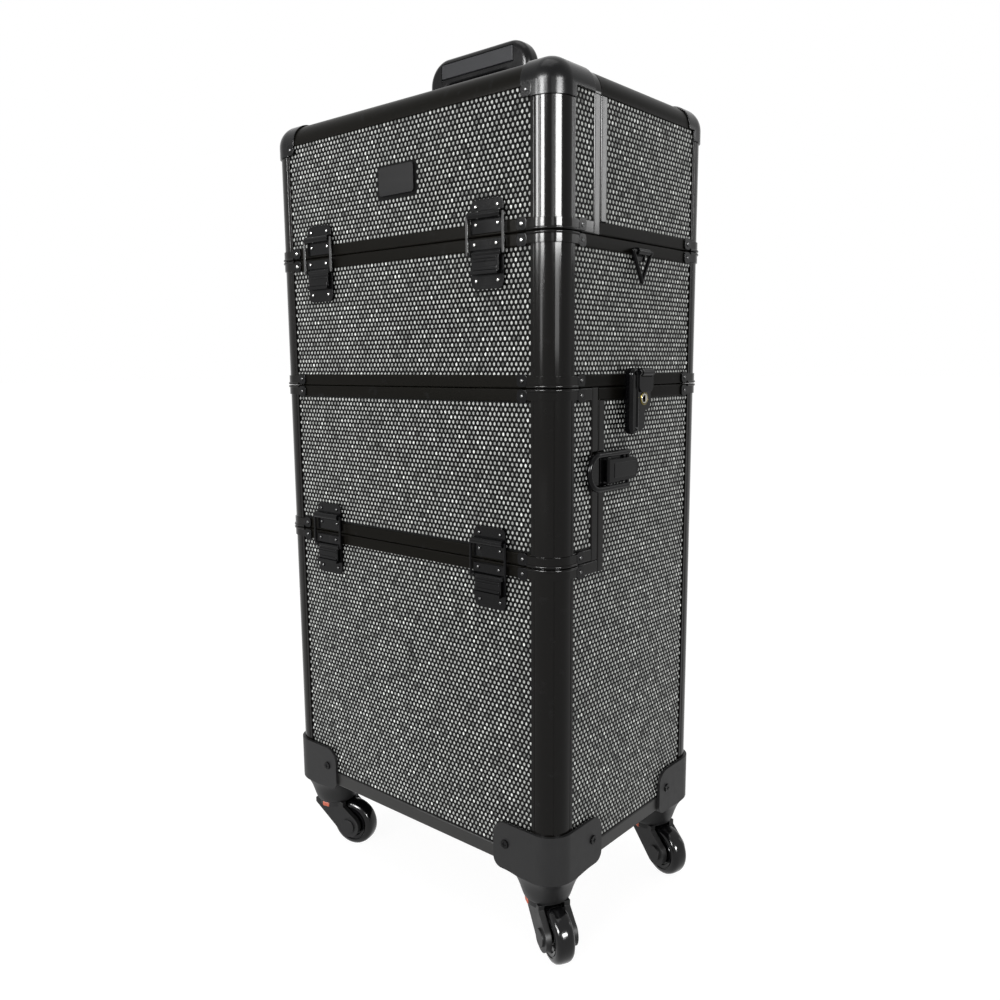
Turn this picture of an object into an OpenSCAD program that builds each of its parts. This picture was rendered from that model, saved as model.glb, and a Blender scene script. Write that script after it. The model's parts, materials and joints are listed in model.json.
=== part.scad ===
/* [Case] */
// Width of the case across its corner posts
case_w = 360; // [340:5:420]
// Depth of the case from front to back
case_d = 240; // [230:5:280]
// Height of the underside of the case above the floor
base_z = 84; // [82:1:100]
// Height of the base, up to the seam under the top case
base_h = 429.5; // [400:5:480]
// Height of the pull-off front cover, down from that seam
cover_h = 150; // [130:5:190]
// Height of the top case's tub
tub_h = 125; // [105:5:160]
// Height of the lid
lid_h = 132.5; // [110:5:160]
// Depth of the lid's front flap and of the front cover
flap_d = 61; // [56:1:75]

/* [Frame] */
// Outer radius of the corner posts and of the lid's top edges
corner_r = 20; // [16:1:22]
// Width of a corner post on each face
post_leg = 25.6; // [25:0.1:30]
// Width of the lid's rounded top rails on each face
top_leg = 22; // [22:0.5:25]
// Thickness of every frame section
frame_t = 8; // [7:0.5:10]
// Height of each rail beside a seam
seam_rail_h = 11; // [10:0.5:14]
// Height of the rail round the underside
floor_rail_h = 14; // [12:0.5:18]
// Width of each bar beside the split at the front of the sides
edge_bar_w = 9.4; // [8:0.2:11]
// Bevel along the outer edges of the rails
rail_bevel = 0.8; // [0.4:0.1:1.2]
// Gap between the two halves of every seam
seam_gap = 0.4; // [0.3:0.1:0.8]
// Thickness of the covered boards
board_t = 5; // [4:0.5:6]
// Depth of the boards' face behind the frame's face
board_inset = 1.2; // [0.8:0.1:1.6]
// Height of the brace bands round the posts
band_h = 8.5; // [7:0.5:9]
// Length of a brace band on each face
band_leg = 38; // [34:1:42]
// Thickness of the brace bands
band_t = 1.2; // [0.8:0.1:1.6]

/* [Corners] */
// Thickness of the moulded caps on the lid's corners
cap_t = 1.4; // [1:0.1:2]
// Length of the corner caps along each edge
cap_leg = 35; // [32:1:42]
// Length of the wings of the bottom corner housings
wing_leg = 68; // [58:1:75]
// Height of those wings above the underside
wing_h = 40; // [34:1:46]
// Thickness of those wings
wing_t = 3; // [2:0.2:4]
// Outer radius of the caster sockets
socket_r = 24; // [22:0.5:26]
// Depth of the caster sockets below the case
socket_h = 32.4; // [31:0.2:32.4]

/* [Casters] */
// Distance of the swivel axes from the side faces
caster_in_x = 30; // [28:1:40]
// Distance of the swivel axes from the front and back faces
caster_in_y = 28; // [28:1:40]
// Radius of the wheels
wheel_r = 25; // [22:0.5:25]
// Width of the wheels
wheel_w = 18; // [14:1:20]
// Distance of a wheel's axle from its swivel axis
trail = 24; // [22:1:28]
// Radius of the axles
axle_r = 3; // [2.5:0.1:3.5]
// Radius of the swivel stems
stem_r = 5; // [4:0.5:6]
// Thickness of each fork leg
fork_t = 5.6; // [4:0.1:6]
// Radius of the fork's lower ends, round the axle
fork_end_r = 13; // [11:0.5:14]

/* [Latches] */
// Distance of the front latches from the sides
latch_in = 70.5; // [64.5:1.5:90]
// Width of the latch plates
latch_w = 36; // [32:1:40]
// Thickness of all hardware plates
plate_t = 1.5; // [1.2:0.1:2]
// Height of the bail's hinge above the seam
bail_up = 17; // [16:0.5:20]
// Length of the bail's legs
bail_leg = 31; // [28:0.5:34]
// Radius of the bail wire
bail_r = 1.3; // [1:0.1:1.5]
// Height of the front levers
lever_h = 17; // [14:0.5:20]
// Height of the side levers' centre above the front cover's lower edge
side_latch_up = 77.5; // [65:0.5:85]
// Length of the side levers
side_lever_len = 50; // [44:1:54]
// Height of the side levers
side_lever_h = 20.5; // [20:0.5:26]
// Radius of the loop round each side lever
loop_r = 1.9; // [1.5:0.1:2.2]
// Width of the key lock bodies
lock_w = 22; // [20:1:28]
// Height of the key lock bodies
lock_h = 37; // [32:1:42]
// Radius of the key cylinders
key_r = 4.5; // [4:0.5:6]
// Radius of the hasp's pin
hasp_r = 2.2; // [1.8:0.1:2.5]
// Radius of the strap rings' wire
ring_r = 1.6; // [1.3:0.1:2]

/* [Handles] */
// Half width of the carry handle
handle_half = 64.5; // [56:0.5:78]
// Height of the carry handle above the lid
handle_h = 64; // [56:1:80]
// Thickness of the carry handle
handle_t = 20; // [18:1:32]
// Height of the carry handle's grip
grip_h = 29; // [26:1:32]
// Half distance between the pull handle's tubes
tube_x = 55; // [48:1:70]
// Distance from the back face to the middle of the tubes
tube_out = 13; // [13:0.5:15]
// Width of the fixed guide tubes
guide_w = 20; // [19:0.5:24]
// Depth of the fixed guide tubes
guide_d = 16; // [15:0.5:16]

/* [Hidden] */
$fn = 48;

// Distance of the front latches from the middle
latch_x = case_w / 2 - latch_in;

// Heights of the seams, from the floor up
cover_z = base_z + base_h - cover_h;
tub_z = base_z + base_h;
lid_z = tub_z + tub_h;
top_z = lid_z + lid_h;
half_gap = seam_gap / 2;

// Clearances
lay_gap = 0.05;
pin_gap = 0.07;
run_gap = 0.3;

// What stands proud of the front and of the back, which centres the whole object in depth
barrel_r = bail_r + 1.9;
bail_out = plate_t + barrel_r - 0.5;
grip_t = 20;
front_out = bail_out + barrel_r;
back_out = tube_out + grip_t / 2;
mid_y = (front_out - back_out) / 2;
front_y = mid_y - case_d / 2;
back_y = mid_y + case_d / 2;

// Places along a side, from the middle of the depth: the split, and the ends of the straight rails
split_y = flap_d - case_d / 2;
side_end = case_d / 2 - post_leg - lay_gap;
face_end = case_w / 2 - post_leg - lay_gap;
top_end = case_w / 2 - top_leg;
bar_front = split_y - half_gap - edge_bar_w;
bar_back = split_y + half_gap + edge_bar_w;

// Colours
BLACK = "#1b1b1d";
BOARD = "#4a4a4e";
METAL = "#9a9a9e";
PLASTIC = "#2a2a2c";
LINING = "#202024";
BRASS = "#c9a243";
PAD = "#6d6f73";

// Places on a face: x along it, y inwards from its outer face, z up
module on_front() { translate([0, front_y, 0]) children(); }
module on_back() { translate([0, back_y, 0]) rotate(180) children(); }
module on_right() { translate([case_w / 2, mid_y, 0]) rotate(90) children(); }
module on_side(side) { mirror([side < 0 ? 1 : 0, 0, 0]) on_right() children(); }
module on_sides() { for (side = [-1, 1]) on_side(side) children(); }

// A corner seen from outside it, with both faces running inwards along +X and +Y
module at_corners(rows) {
    for (side = [0, 1]) for (row = rows)
        translate([0, mid_y, 0]) mirror([side, 0, 0]) mirror([0, row, 0])
            translate([-case_w / 2, -case_d / 2, 0]) children();
}
FRONT = [0];
BACK = [1];
BOTH = [0, 1];

// Sections
module rounded_corner(r, inset, reach) {
    translate([r, r]) circle(r - inset);
    translate([r, inset]) square(reach);
    translate([inset, r]) square(reach);
}
module corner_section(leg, r, t) {
    intersection() {
        square(leg);
        difference() {
            rounded_corner(r, 0, 2 * leg);
            rounded_corner(r, t, 2 * leg);
        }
    }
}
module case_outline(inset) {
    w = case_w - 2 * inset;
    d = case_d - 2 * inset;
    r = corner_r - inset;
    square([w, d - 2 * r], center = true);
    square([w - 2 * r, d], center = true);
    for (x = [-1, 1], y = [-1, 1]) translate([x * (w / 2 - r), y * (d / 2 - r)]) circle(r);
}
groove_w = 0.8;
groove_in = 4;
module post_section() {
    difference() {
        corner_section(post_leg, corner_r, frame_t);
        for (flip = [0, 1]) mirror([flip, -flip, 0])
            translate([post_leg - groove_in, -groove_w]) square([groove_w, 1.4 * groove_w]);
        translate([corner_r, corner_r]) rotate(225)
            translate([corner_r - groove_w / 2, -groove_w / 2]) square(groove_w);
    }
}

// Posts, rails, bars, boards and bands, each between two heights or two places on a face. Rails and
// bars stop a hair short of both, so that neighbours stay separate solids.
module posts(rows, z0, z1) {
    at_corners(rows) translate([0, 0, z0]) linear_extrude(z1 - z0) post_section();
}
module rail(x0, x1, z0, h) {
    b = rail_bevel;
    translate([x0 + lay_gap, 0, z0]) rotate([90, 0, 90]) linear_extrude(x1 - x0 - 2 * lay_gap)
        polygon([[b, 0], [frame_t, 0], [frame_t, h], [b, h], [0, h - b], [0, b]]);
}
module bar(x0, z0, z1) {
    b = rail_bevel;
    w = edge_bar_w;
    translate([x0, 0, z0 + lay_gap]) linear_extrude(z1 - z0 - 2 * lay_gap)
        polygon([[b, 0], [w - b, 0], [w, b], [w, frame_t], [0, frame_t], [0, b]]);
}
module board(x0, x1, z0, z1) {
    translate([x0, board_inset, z0]) cube([x1 - x0, board_t, z1 - z0]);
}
module top_rail(x0, x1) {
    translate([x0 + lay_gap, 0, top_z]) rotate([90, 0, 90]) linear_extrude(x1 - x0 - 2 * lay_gap)
        mirror([0, 1]) corner_section(top_leg, corner_r, frame_t);
}
rivet_r = 1.7;
rivet_h = 0.8;
module rivet(x, z, out) {
    translate([x, -out, z]) rotate([90, 0, 0]) cylinder(r = rivet_r, h = rivet_h);
}
rivet_in = 4;
module bands(rows, z0) {
    at_corners(rows) {
        translate([0, 0, z0]) linear_extrude(band_h) intersection() {
            translate([-band_t, -band_t]) square(band_leg + band_t);
            difference() {
                rounded_corner(corner_r, -band_t, band_leg);
                rounded_corner(corner_r, -lay_gap, band_leg);
            }
        }
        rivet(band_leg - rivet_in, z0 + band_h / 2, band_t - lay_gap);
        mirror([1, -1, 0]) rivet(band_leg - rivet_in, z0 + band_h / 2, band_t - lay_gap);
    }
}
band_off = 1;
module bands_above(rows, z) { bands(rows, z + half_gap + band_off); }
module bands_below(rows, z) { bands(rows, z - half_gap - band_off - band_h); }

// Base
floor_t = 6;
floor_up = 3;
base_wall_z = base_z + floor_rail_h;
base_top = tub_z - half_gap;
base_board_top = base_top - seam_rail_h;
door_sill = cover_z - half_gap;
door_board_top = door_sill - seam_rail_h;

module base_floor() {
    color(LINING) translate([0, mid_y, base_z + floor_up]) linear_extrude(floor_t)
        case_outline(frame_t + lay_gap);
}
module base_panels() {
    color(BOARD) {
        on_front() board(-face_end, face_end, base_wall_z, door_board_top);
        on_back() board(-face_end, face_end, base_wall_z, base_board_top);
        on_sides() {
            board(-side_end, bar_back, base_wall_z, door_board_top);
            board(bar_back + lay_gap, side_end, base_wall_z, base_board_top);
        }
    }
}
module base_posts() {
    color(BLACK) {
        posts(FRONT, base_z, door_sill);
        posts(BACK, base_z, base_top);
    }
}
module base_rails() {
    color(BLACK) {
        on_front() {
            rail(-face_end, face_end, base_z, floor_rail_h);
            rail(-face_end, face_end, door_board_top, seam_rail_h);
        }
        on_back() {
            rail(-face_end, face_end, base_z, floor_rail_h);
            rail(-face_end, face_end, base_board_top, seam_rail_h);
        }
        on_sides() {
            rail(-side_end, side_end, base_z, floor_rail_h);
            rail(-side_end, bar_back - edge_bar_w, door_board_top, seam_rail_h);
            bar(bar_back - edge_bar_w, door_board_top, base_board_top);
            rail(bar_back - edge_bar_w, side_end, base_board_top, seam_rail_h);
        }
    }
}
module base_bands() {
    color(BLACK) {
        bands_below(FRONT, cover_z);
        bands_below(BACK, tub_z);
    }
}

// Bottom corner housings: an L of two wings outside the posts, and a plate under the case that sweeps
// down into a round socket
plate_under = 5;
socket_z = base_z - socket_h;
stem_top = base_z - plate_under;
wing_screw_in = 14;
socket_lip = 5.4;
flare_r = 15;
module housing_foot() {
    intersection() {
        translate([-wing_t, -wing_t]) square(wing_leg + wing_t);
        rounded_corner(corner_r, -wing_t, wing_leg);
    }
}
module socket_section() {
    low = socket_z + socket_lip;
    reach = socket_r + flare_r;
    translate([0, low]) square([socket_r, stem_top - low + 1]);
    translate([0, socket_z]) square([socket_r - socket_lip, socket_lip + 1]);
    translate([socket_r - socket_lip, low]) circle(socket_lip);
    difference() {
        translate([socket_r - 1, stem_top - flare_r]) square([flare_r + 1, flare_r + plate_under - lay_gap]);
        translate([reach, stem_top - flare_r]) circle(flare_r);
    }
}
module corner_housings() {
    color(PLASTIC) at_corners(BOTH) difference() {
        union() {
            translate([0, 0, stem_top]) linear_extrude(wing_h + plate_under) difference() {
                housing_foot();
                rounded_corner(corner_r, -lay_gap, wing_leg + 1);
            }
            translate([0, 0, stem_top]) linear_extrude(plate_under - lay_gap) intersection() {
                housing_foot();
                union() {
                    translate([caster_in_x, caster_in_y]) circle(socket_r + flare_r);
                    square([wing_leg + 1, wing_under]);
                    square([wing_under, wing_leg + 1]);
                }
            }
            intersection() {
                translate([caster_in_x, caster_in_y, 0]) rotate_extrude() socket_section();
                translate([0, 0, socket_z - 1]) linear_extrude(base_z - socket_z + 1 - lay_gap)
                    housing_foot();
            }
        }
        translate([caster_in_x, caster_in_y, socket_z - 1])
            cylinder(r = stem_r + pin_gap, h = stem_top - socket_z + 1);
        for (flip = [0, 1]) mirror([flip, -flip, 0]) {
            translate([wing_leg + 1, -wing_t - 1, base_z + wing_h + 1]) rotate([-90, 0, 0])
                linear_extrude(wing_t + 1 - lay_gap) wing_cut(wing_round);
            translate([wing_leg + 1, -wing_t - 1, stem_top - 1]) mirror([0, 0, 1]) rotate([-90, 0, 0])
                linear_extrude(wing_t + 1 + wing_under + 0.01) wing_cut(wing_foot_round);
        }
    }
}
// What rounds off the end of a wing, with its corner at the origin
wing_round = 14;
wing_foot_round = 9;
wing_under = 8;
module wing_cut(r) {
    difference() {
        translate([-r - 1, 0]) square(r + 1);
        translate([-r - 1, r + 1]) circle(r);
    }
}
screw_r = 4.2;
screw_h = 1.4;
module housing_screws() {
    color(BLACK) at_corners(BOTH) for (flip = [0, 1]) mirror([flip, -flip, 0])
        translate([wing_leg - wing_screw_in, -wing_t, base_z + wing_h / 2]) rotate([90, 0, 0])
            difference() {
                cylinder(r = screw_r, h = screw_h);
                for (turn = [0, 90]) rotate([0, 0, turn]) translate([0, 0, screw_h])
                    cube([screw_r, 0.9, screw_h], center = true);
            }
}

// Casters: each has its side, its row and the way it trails at rest
caster_turn = [-30, 16, -18, 203];
caster_side = [1, -1, 1, -1];
caster_row = [-1, -1, 1, 1];
collar_r = 19.6;
collar_h = 5;
fork_top = socket_z - run_gap;
leg_in = wheel_w / 2 + 1;
leg_out = leg_in + fork_t;
axle_boss_r = 8;
boss_proud = 2;
wheel_gap = 1;
tyre_round = 4;
hub_r = wheel_r * 0.6;
hub_dish = 2;
module at_caster(i) {
    translate([caster_side[i] * (case_w / 2 - caster_in_x),
        mid_y + caster_row[i] * (case_d / 2 - caster_in_y), 0]) rotate(caster_turn[i]) children();
}
// Where a line from a point touches the circle round a centre, on the side that the sign says
function touch(p, c, r, sign) =
    let (d = norm(c - p), a = atan2(c[1] - p[1], c[0] - p[0]) + sign * asin(r / d))
        p + sqrt(d * d - r * r) * [cos(a), sin(a)];
module fork_side() {
    axle = [trail, wheel_r];
    low = fork_top - collar_h;
    near = [collar_r - 1.6, low];
    far = [1.6 - collar_r, low];
    polygon([far, [far[0], fork_top - 0.1], [near[0], fork_top - 0.1], near,
        touch(near, axle, fork_end_r, 1), axle, touch(far, axle, fork_end_r, -1)]);
    translate(axle) circle(fork_end_r);
}
module fork(i) {
    color(PLASTIC) at_caster(i) {
        difference() {
            union() {
                translate([0, 0, fork_top - collar_h]) cylinder(r = collar_r, h = collar_h);
                translate([0, leg_out, 0]) rotate([90, 0, 0]) linear_extrude(2 * leg_out) fork_side();
                translate([trail, leg_out + boss_proud, wheel_r]) rotate([90, 0, 0])
                    cylinder(r = axle_boss_r, h = 2 * (leg_out + boss_proud));
            }
            translate([trail, leg_in, wheel_r]) rotate([90, 0, 0])
                cylinder(r = wheel_r + wheel_gap, h = 2 * leg_in);
        }
        translate([0, 0, fork_top - lay_gap]) cylinder(r = stem_r, h = stem_top - fork_top - 1);
        translate([trail, leg_in + 1, wheel_r]) rotate([90, 0, 0])
            cylinder(r = axle_r, h = 2 * (leg_in + 1));
    }
}
module wheel(i) {
    half = wheel_w / 2;
    color(BLACK) at_caster(i) translate([trail, 0, wheel_r]) rotate([90, 0, 0]) rotate_extrude() {
        difference() {
            union() {
                translate([axle_r + pin_gap, -half])
                    square([wheel_r - tyre_round - axle_r - pin_gap, wheel_w]);
                translate([axle_r + pin_gap, tyre_round - half])
                    square([wheel_r - axle_r - pin_gap, wheel_w - 2 * tyre_round]);
                for (z = [-1, 1]) translate([wheel_r - tyre_round, z * (half - tyre_round)])
                    circle(tyre_round);
            }
            for (z = [-1, 1]) translate([(hub_r + axle_boss_r) / 2, z * half])
                square([hub_r - axle_boss_r + 4, 2 * hub_dish], center = true);
        }
    }
}

// Front latch, with the seam at z = 0 and the face at y = 0
lever_z = -14;
plate_low = -43;
plate_round = 6;
lever_out = plate_t + 2.1;
lever_pin_r = 1.2;
ear_t = 2.6;
lever_half = latch_w / 2 - ear_t - 0.4;
bail_half = latch_w / 2 + 0.6 + bail_r;
module rounded_plate(w, h, r) {
    translate([-w / 2, 0]) square([w, h - r]);
    translate([r - w / 2, 0]) square([w - 2 * r, h]);
    for (x = [-1, 1]) translate([x * (w / 2 - r), h - r]) circle(r);
}
// A plate that stands on the face, from z0 up, with its two upper corners rounded
module face_plate(w, z0, h, t) {
    translate([0, 0, z0]) rotate([90, 0, 0]) linear_extrude(t) rounded_plate(w, h, plate_round);
}
plate_up = 30;
plate_from = 2.5;
module strike_plate() {
    difference() {
        union() {
            face_plate(latch_w, plate_from, plate_up - plate_from, plate_t);
            translate([-latch_w / 2, -bail_out, bail_up - barrel_r])
                cube([latch_w, bail_out, 2 * barrel_r]);
            translate([-latch_w / 2, -bail_out, bail_up]) rotate([0, 90, 0])
                cylinder(r = barrel_r, h = latch_w);
        }
        translate([-latch_w / 2 - 1, -bail_out, bail_up]) rotate([0, 90, 0])
            cylinder(r = bail_r + pin_gap, h = latch_w + 2);
    }
    for (x = [-1, 1]) {
        rivet(x * latch_w / 3, bail_up + barrel_r + 4, plate_t);
        rivet(x * latch_w / 3, bail_up - barrel_r - 4, plate_t);
    }
}
ledge_t = 2;
module latch_plate() {
    mirror([0, 0, 1]) face_plate(latch_w, 2.5, -plate_low - 2.5, plate_t);
    translate([-latch_w / 2, -plate_t - ledge_t, -11]) cube([latch_w, ledge_t, 8]);
    for (x = [-1, 1]) {
        rivet(x * latch_w / 3, -6.5, plate_t + ledge_t);
        rivet(x * latch_w / 3, lever_z - lever_h - 5, plate_t);
        difference() {
            translate([x * (latch_w - ear_t) / 2, 0, lever_z]) rotate([0, 90, 0]) {
                translate([0, -lever_out, 0]) cylinder(r = 2.4, h = ear_t, center = true);
                translate([0, -lever_out / 2, 0]) cube([4.8, lever_out, ear_t], center = true);
            }
            translate([x * latch_w / 2, -lever_out, lever_z]) rotate([0, 90, 0])
                cylinder(r = lever_pin_r + pin_gap, h = 3 * ear_t, center = true);
        }
    }
}
lever_t = 2;
lip_h = 3;
module front_lever() {
    color(BLACK) {
        translate([0, -lever_out, lever_z]) rotate([0, 90, 0]) {
            cylinder(r = lever_pin_r, h = latch_w - 0.2, center = true);
            cylinder(r = 1.8, h = 2 * lever_half, center = true);
        }
        translate([-lever_half, -lever_out - 1, lever_z - lever_h])
            cube([2 * lever_half, lever_t, lever_h]);
        translate([-lever_half, -lever_out - 3, lever_z - lever_h])
            cube([2 * lever_half, lip_h, lip_h]);
    }
}
module rod_to(a, b, r) {
    along = b - a;
    translate(a) rotate([0, acos(along[2] / norm(along)), atan2(along[1], along[0])])
        cylinder(r = r, h = norm(along));
    translate(a) sphere(r);
}
module bail() {
    color(METAL) translate([0, -bail_out, bail_up]) {
        rod_to([-bail_half, 0, 0], [bail_half, 0, 0], bail_r);
        for (x = [-bail_half, bail_half]) {
            rod_to([x, 0, -bail_leg], [x, 0, 0], bail_r);
            translate([x, 0, 0]) sphere(bail_r);
        }
    }
}
module front_latch(side, z) { on_front() translate([side * latch_x, 0, z]) children(); }

// Side lever latch across the split, in the side's own x, y and z
side_latch_z = cover_z + side_latch_up;
side_out = plate_t + 2.9;
side_lever_t = 4.4;
side_pin_r = 1.1;
side_lever_front = split_y + 4.7;
side_pivot = side_lever_front + 4;
loop_pivot = side_lever_front + side_lever_len - 15;
loop_gap = 2.7;
loop_half = side_lever_h / 2 + loop_gap + loop_r;
loop_bend = split_y - 4.2;
side_ear_z = side_lever_h / 2 + 0.6;
side_ear_t = 1.5;
strike_h = side_out - loop_r - run_gap;
strike_half = 9;
strike_plate_half = 14;
module side_latch_plates() {
    color(BLACK) on_sides() {
        translate([bar_back - edge_bar_w + 0.6, -plate_t, side_latch_z - side_ear_z - side_ear_t])
            cube([side_lever_len - 6, plate_t, 2 * (side_ear_z + side_ear_t)]);
        for (end = [0, 1]) translate([side_pivot, 0, side_latch_z]) mirror([0, 0, end])
            translate([0, 0, side_ear_z]) difference() {
                union() {
                    translate([0, -side_out, 0]) cylinder(r = 2.5, h = side_ear_t);
                    translate([-2.5, -side_out, 0]) cube([5, side_out, side_ear_t]);
                }
                translate([0, -side_out, -1]) cylinder(r = side_pin_r + pin_gap, h = side_ear_t + 2);
            }
    }
}
module side_lever(side) {
    round_r = side_lever_h / 2 - 0.5;
    color(BLACK) on_side(side) translate([0, 0, side_latch_z]) {
        difference() {
            translate([0, -side_out - side_lever_t / 2, 0]) rotate([-90, 0, 0])
                linear_extrude(side_lever_t) {
                    translate([side_lever_front + side_lever_len - round_r, 0]) circle(round_r);
                    translate([side_pivot, -round_r])
                        square([side_lever_len - 4 - round_r, 2 * round_r]);
                }
            translate([loop_pivot, -side_out, 0])
                cylinder(r = side_pin_r + pin_gap, h = side_lever_h, center = true);
        }
        translate([side_pivot, -side_out, 0]) {
            cylinder(r = side_lever_t / 2, h = 2 * round_r, center = true);
            cylinder(r = side_pin_r, h = 2 * (side_ear_z + side_ear_t) - 0.4, center = true);
        }
    }
}
module side_loop(side) {
    color(BLACK) on_side(side) translate([0, -side_out, side_latch_z]) {
        for (z = [-loop_half, loop_half]) {
            rod_to([loop_pivot, 0, z], [loop_bend, 0, z], loop_r);
            rod_to([loop_pivot, 0, z * 0.45], [loop_pivot, 0, z], side_pin_r);
        }
        translate([loop_bend, 0, 0]) rotate([90, 90, 0]) mirror([0, 1, 0])
            rotate_extrude(angle = 180) translate([loop_half, 0]) circle(loop_r);
    }
}

// Key lock over the seam between the base and the top case
lock_y = -3;
lock_t = 10.5;
lock_body_h = 19;
tongue_w = 15;
tongue_t = 7;
lock_top = tub_z - half_gap - 2.5;
key_z = lock_top - 8.5;
key_proud = 0.8;
hasp_t = 2.2;
hasp_out = lock_t + run_gap + hasp_t / 2;
hasp_barrel_half = 8.5;
hasp_half = hasp_barrel_half + run_gap + 3;
hasp_end_r = 2.8;
hasp_up = 12;
hasp_z = tub_z + hasp_up;
hasp_drop = 17.5;
hasp_barrel_r = hasp_r + 1.4;
module key_locks() {
    color(BLACK) on_sides() translate([lock_y, 0, 0]) difference() {
        translate([0, 0, lock_top]) mirror([0, 0, 1]) {
            face_plate(lock_w, 0, lock_body_h, lock_t);
            face_plate(tongue_w, 0, lock_h, tongue_t);
        }
        translate([0, 1, key_z]) rotate([90, 0, 0]) cylinder(r = key_r + pin_gap, h = lock_t + 2);
    }
}
module key_cylinder(side) {
    color(BRASS) on_side(side) translate([lock_y, 0, key_z]) rotate([90, 0, 0]) difference() {
        cylinder(r = key_r, h = lock_t + key_proud);
        translate([0, 0, lock_t + key_proud]) cube([1.2, key_r * 1.2, 3], center = true);
    }
}
// The hasp: a plate that hangs from a pin in a barrel on the top case and laps over the lock
module hasp(side) {
    color(BLACK) on_side(side) translate([lock_y, -hasp_out, hasp_z]) {
        rotate([0, 90, 0]) cylinder(r = hasp_r, h = 2 * hasp_half, center = true);
        difference() {
            union() {
                rotate([0, 90, 0]) cylinder(r = hasp_end_r, h = 2 * hasp_half, center = true);
                translate([0, hasp_t / 2, 0]) mirror([0, 0, 1])
                    face_plate(2 * hasp_half, 0, hasp_drop, hasp_t);
            }
            notch = hasp_barrel_half + run_gap;
            translate([-notch, -hasp_barrel_r - 1, -hasp_barrel_r - run_gap])
                cube([2 * notch, 2 * hasp_barrel_r + 2, 2 * hasp_barrel_r + run_gap]);
        }
    }
}

// Strap ring on the side of the top case
ring_z = lid_z - 8.5;
ring_out = ring_r + 3;
ring_half = 15;
ring_drop = 26;
ring_mount_half = 9;
module strap_ring(side) {
    color(METAL) on_side(side) translate([0, -ring_out, ring_z]) {
        rod_to([-ring_half, 0, 0], [ring_half, 0, 0], ring_r);
        rod_to([ring_half, 0, 0], [0, 0, -ring_drop], ring_r);
        rod_to([0, 0, -ring_drop], [-ring_half, 0, 0], ring_r);
    }
}
// A barrel on a block that stands on the face, bored for a bar along x
module barrel(half, out, r, bore_r, z, down) {
    difference() {
        union() {
            translate([-half, -out, z]) rotate([0, 90, 0]) cylinder(r = r, h = 2 * half);
            translate([-half, -out, z - r]) cube([2 * half, out, 2 * r]);
            translate([-half, -plate_t, z - down]) cube([2 * half, plate_t, down]);
        }
        translate([-half - 1, -out, z]) rotate([0, 90, 0]) cylinder(r = bore_r, h = 2 * half + 2);
    }
}

// Front cover
cover_bottom = cover_z + half_gap;
cover_board_z = cover_bottom + seam_rail_h;
module cover_panels() {
    color(BOARD) {
        on_front() board(-face_end, face_end, cover_board_z, base_board_top);
        on_sides() board(-side_end, bar_front, cover_board_z, base_board_top);
    }
}
module cover_frame() {
    color(BLACK) {
        posts(FRONT, cover_bottom, base_top);
        on_front() {
            rail(-face_end, face_end, cover_bottom, seam_rail_h);
            rail(-face_end, face_end, base_board_top, seam_rail_h);
        }
        on_sides() {
            rail(-side_end, bar_front, cover_bottom, seam_rail_h);
            rail(-side_end, bar_front, base_board_top, seam_rail_h);
            bar(bar_front, cover_bottom, base_top);
        }
        bands_above(FRONT, cover_z);
        bands_below(FRONT, tub_z);
    }
}
module cover_strikes() {
    color(BLACK) {
        for (side = [-1, 1]) front_latch(side, cover_z) strike_plate();
        on_sides() translate([0, 0, side_latch_z]) {
            translate([bar_front - 5, -plate_t, -strike_plate_half])
                cube([edge_bar_w + 4.4, plate_t, 2 * strike_plate_half]);
            translate([bar_front - 4, -strike_h, -strike_half])
                cube([edge_bar_w, strike_h, 2 * strike_half]);
        }
    }
}
module lower_latch_plates() {
    color(BLACK) for (side = [-1, 1]) front_latch(side, cover_z) latch_plate();
}

// Top case: tub
tub_bottom = tub_z + half_gap;
tub_board_z = tub_bottom + seam_rail_h;
tub_top = lid_z - half_gap;
tub_board_top = tub_top - seam_rail_h;
module tub_panels() {
    color(BOARD) {
        on_front() board(-face_end, face_end, tub_board_z, tub_board_top);
        on_back() board(-face_end, face_end, tub_board_z, tub_board_top);
        on_sides() board(-side_end, side_end, tub_board_z, tub_board_top);
    }
}
module tub_floor() {
    color(LINING) translate([0, mid_y, tub_bottom + 1]) linear_extrude(floor_t)
        case_outline(frame_t + lay_gap);
}
module tub_frame() {
    color(BLACK) {
        posts(BOTH, tub_bottom, tub_top);
        for (z = [tub_bottom, tub_board_top]) {
            on_front() rail(-face_end, face_end, z, seam_rail_h);
            on_back() rail(-face_end, face_end, z, seam_rail_h);
            on_sides() rail(-side_end, side_end, z, seam_rail_h);
        }
        bands_above(BOTH, tub_z);
        bands_below(BOTH, lid_z);
    }
}
module tub_hardware() {
    color(BLACK) {
        for (side = [-1, 1]) front_latch(side, lid_z) latch_plate();
        on_sides() {
            translate([lock_y, 0, 0]) barrel(hasp_barrel_half, hasp_out, hasp_barrel_r, hasp_r + pin_gap,
                hasp_z, hasp_up - 2);
            barrel(ring_mount_half, ring_out, ring_r + 1.5, ring_r + pin_gap, ring_z, 8);
        }
    }
}

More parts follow.
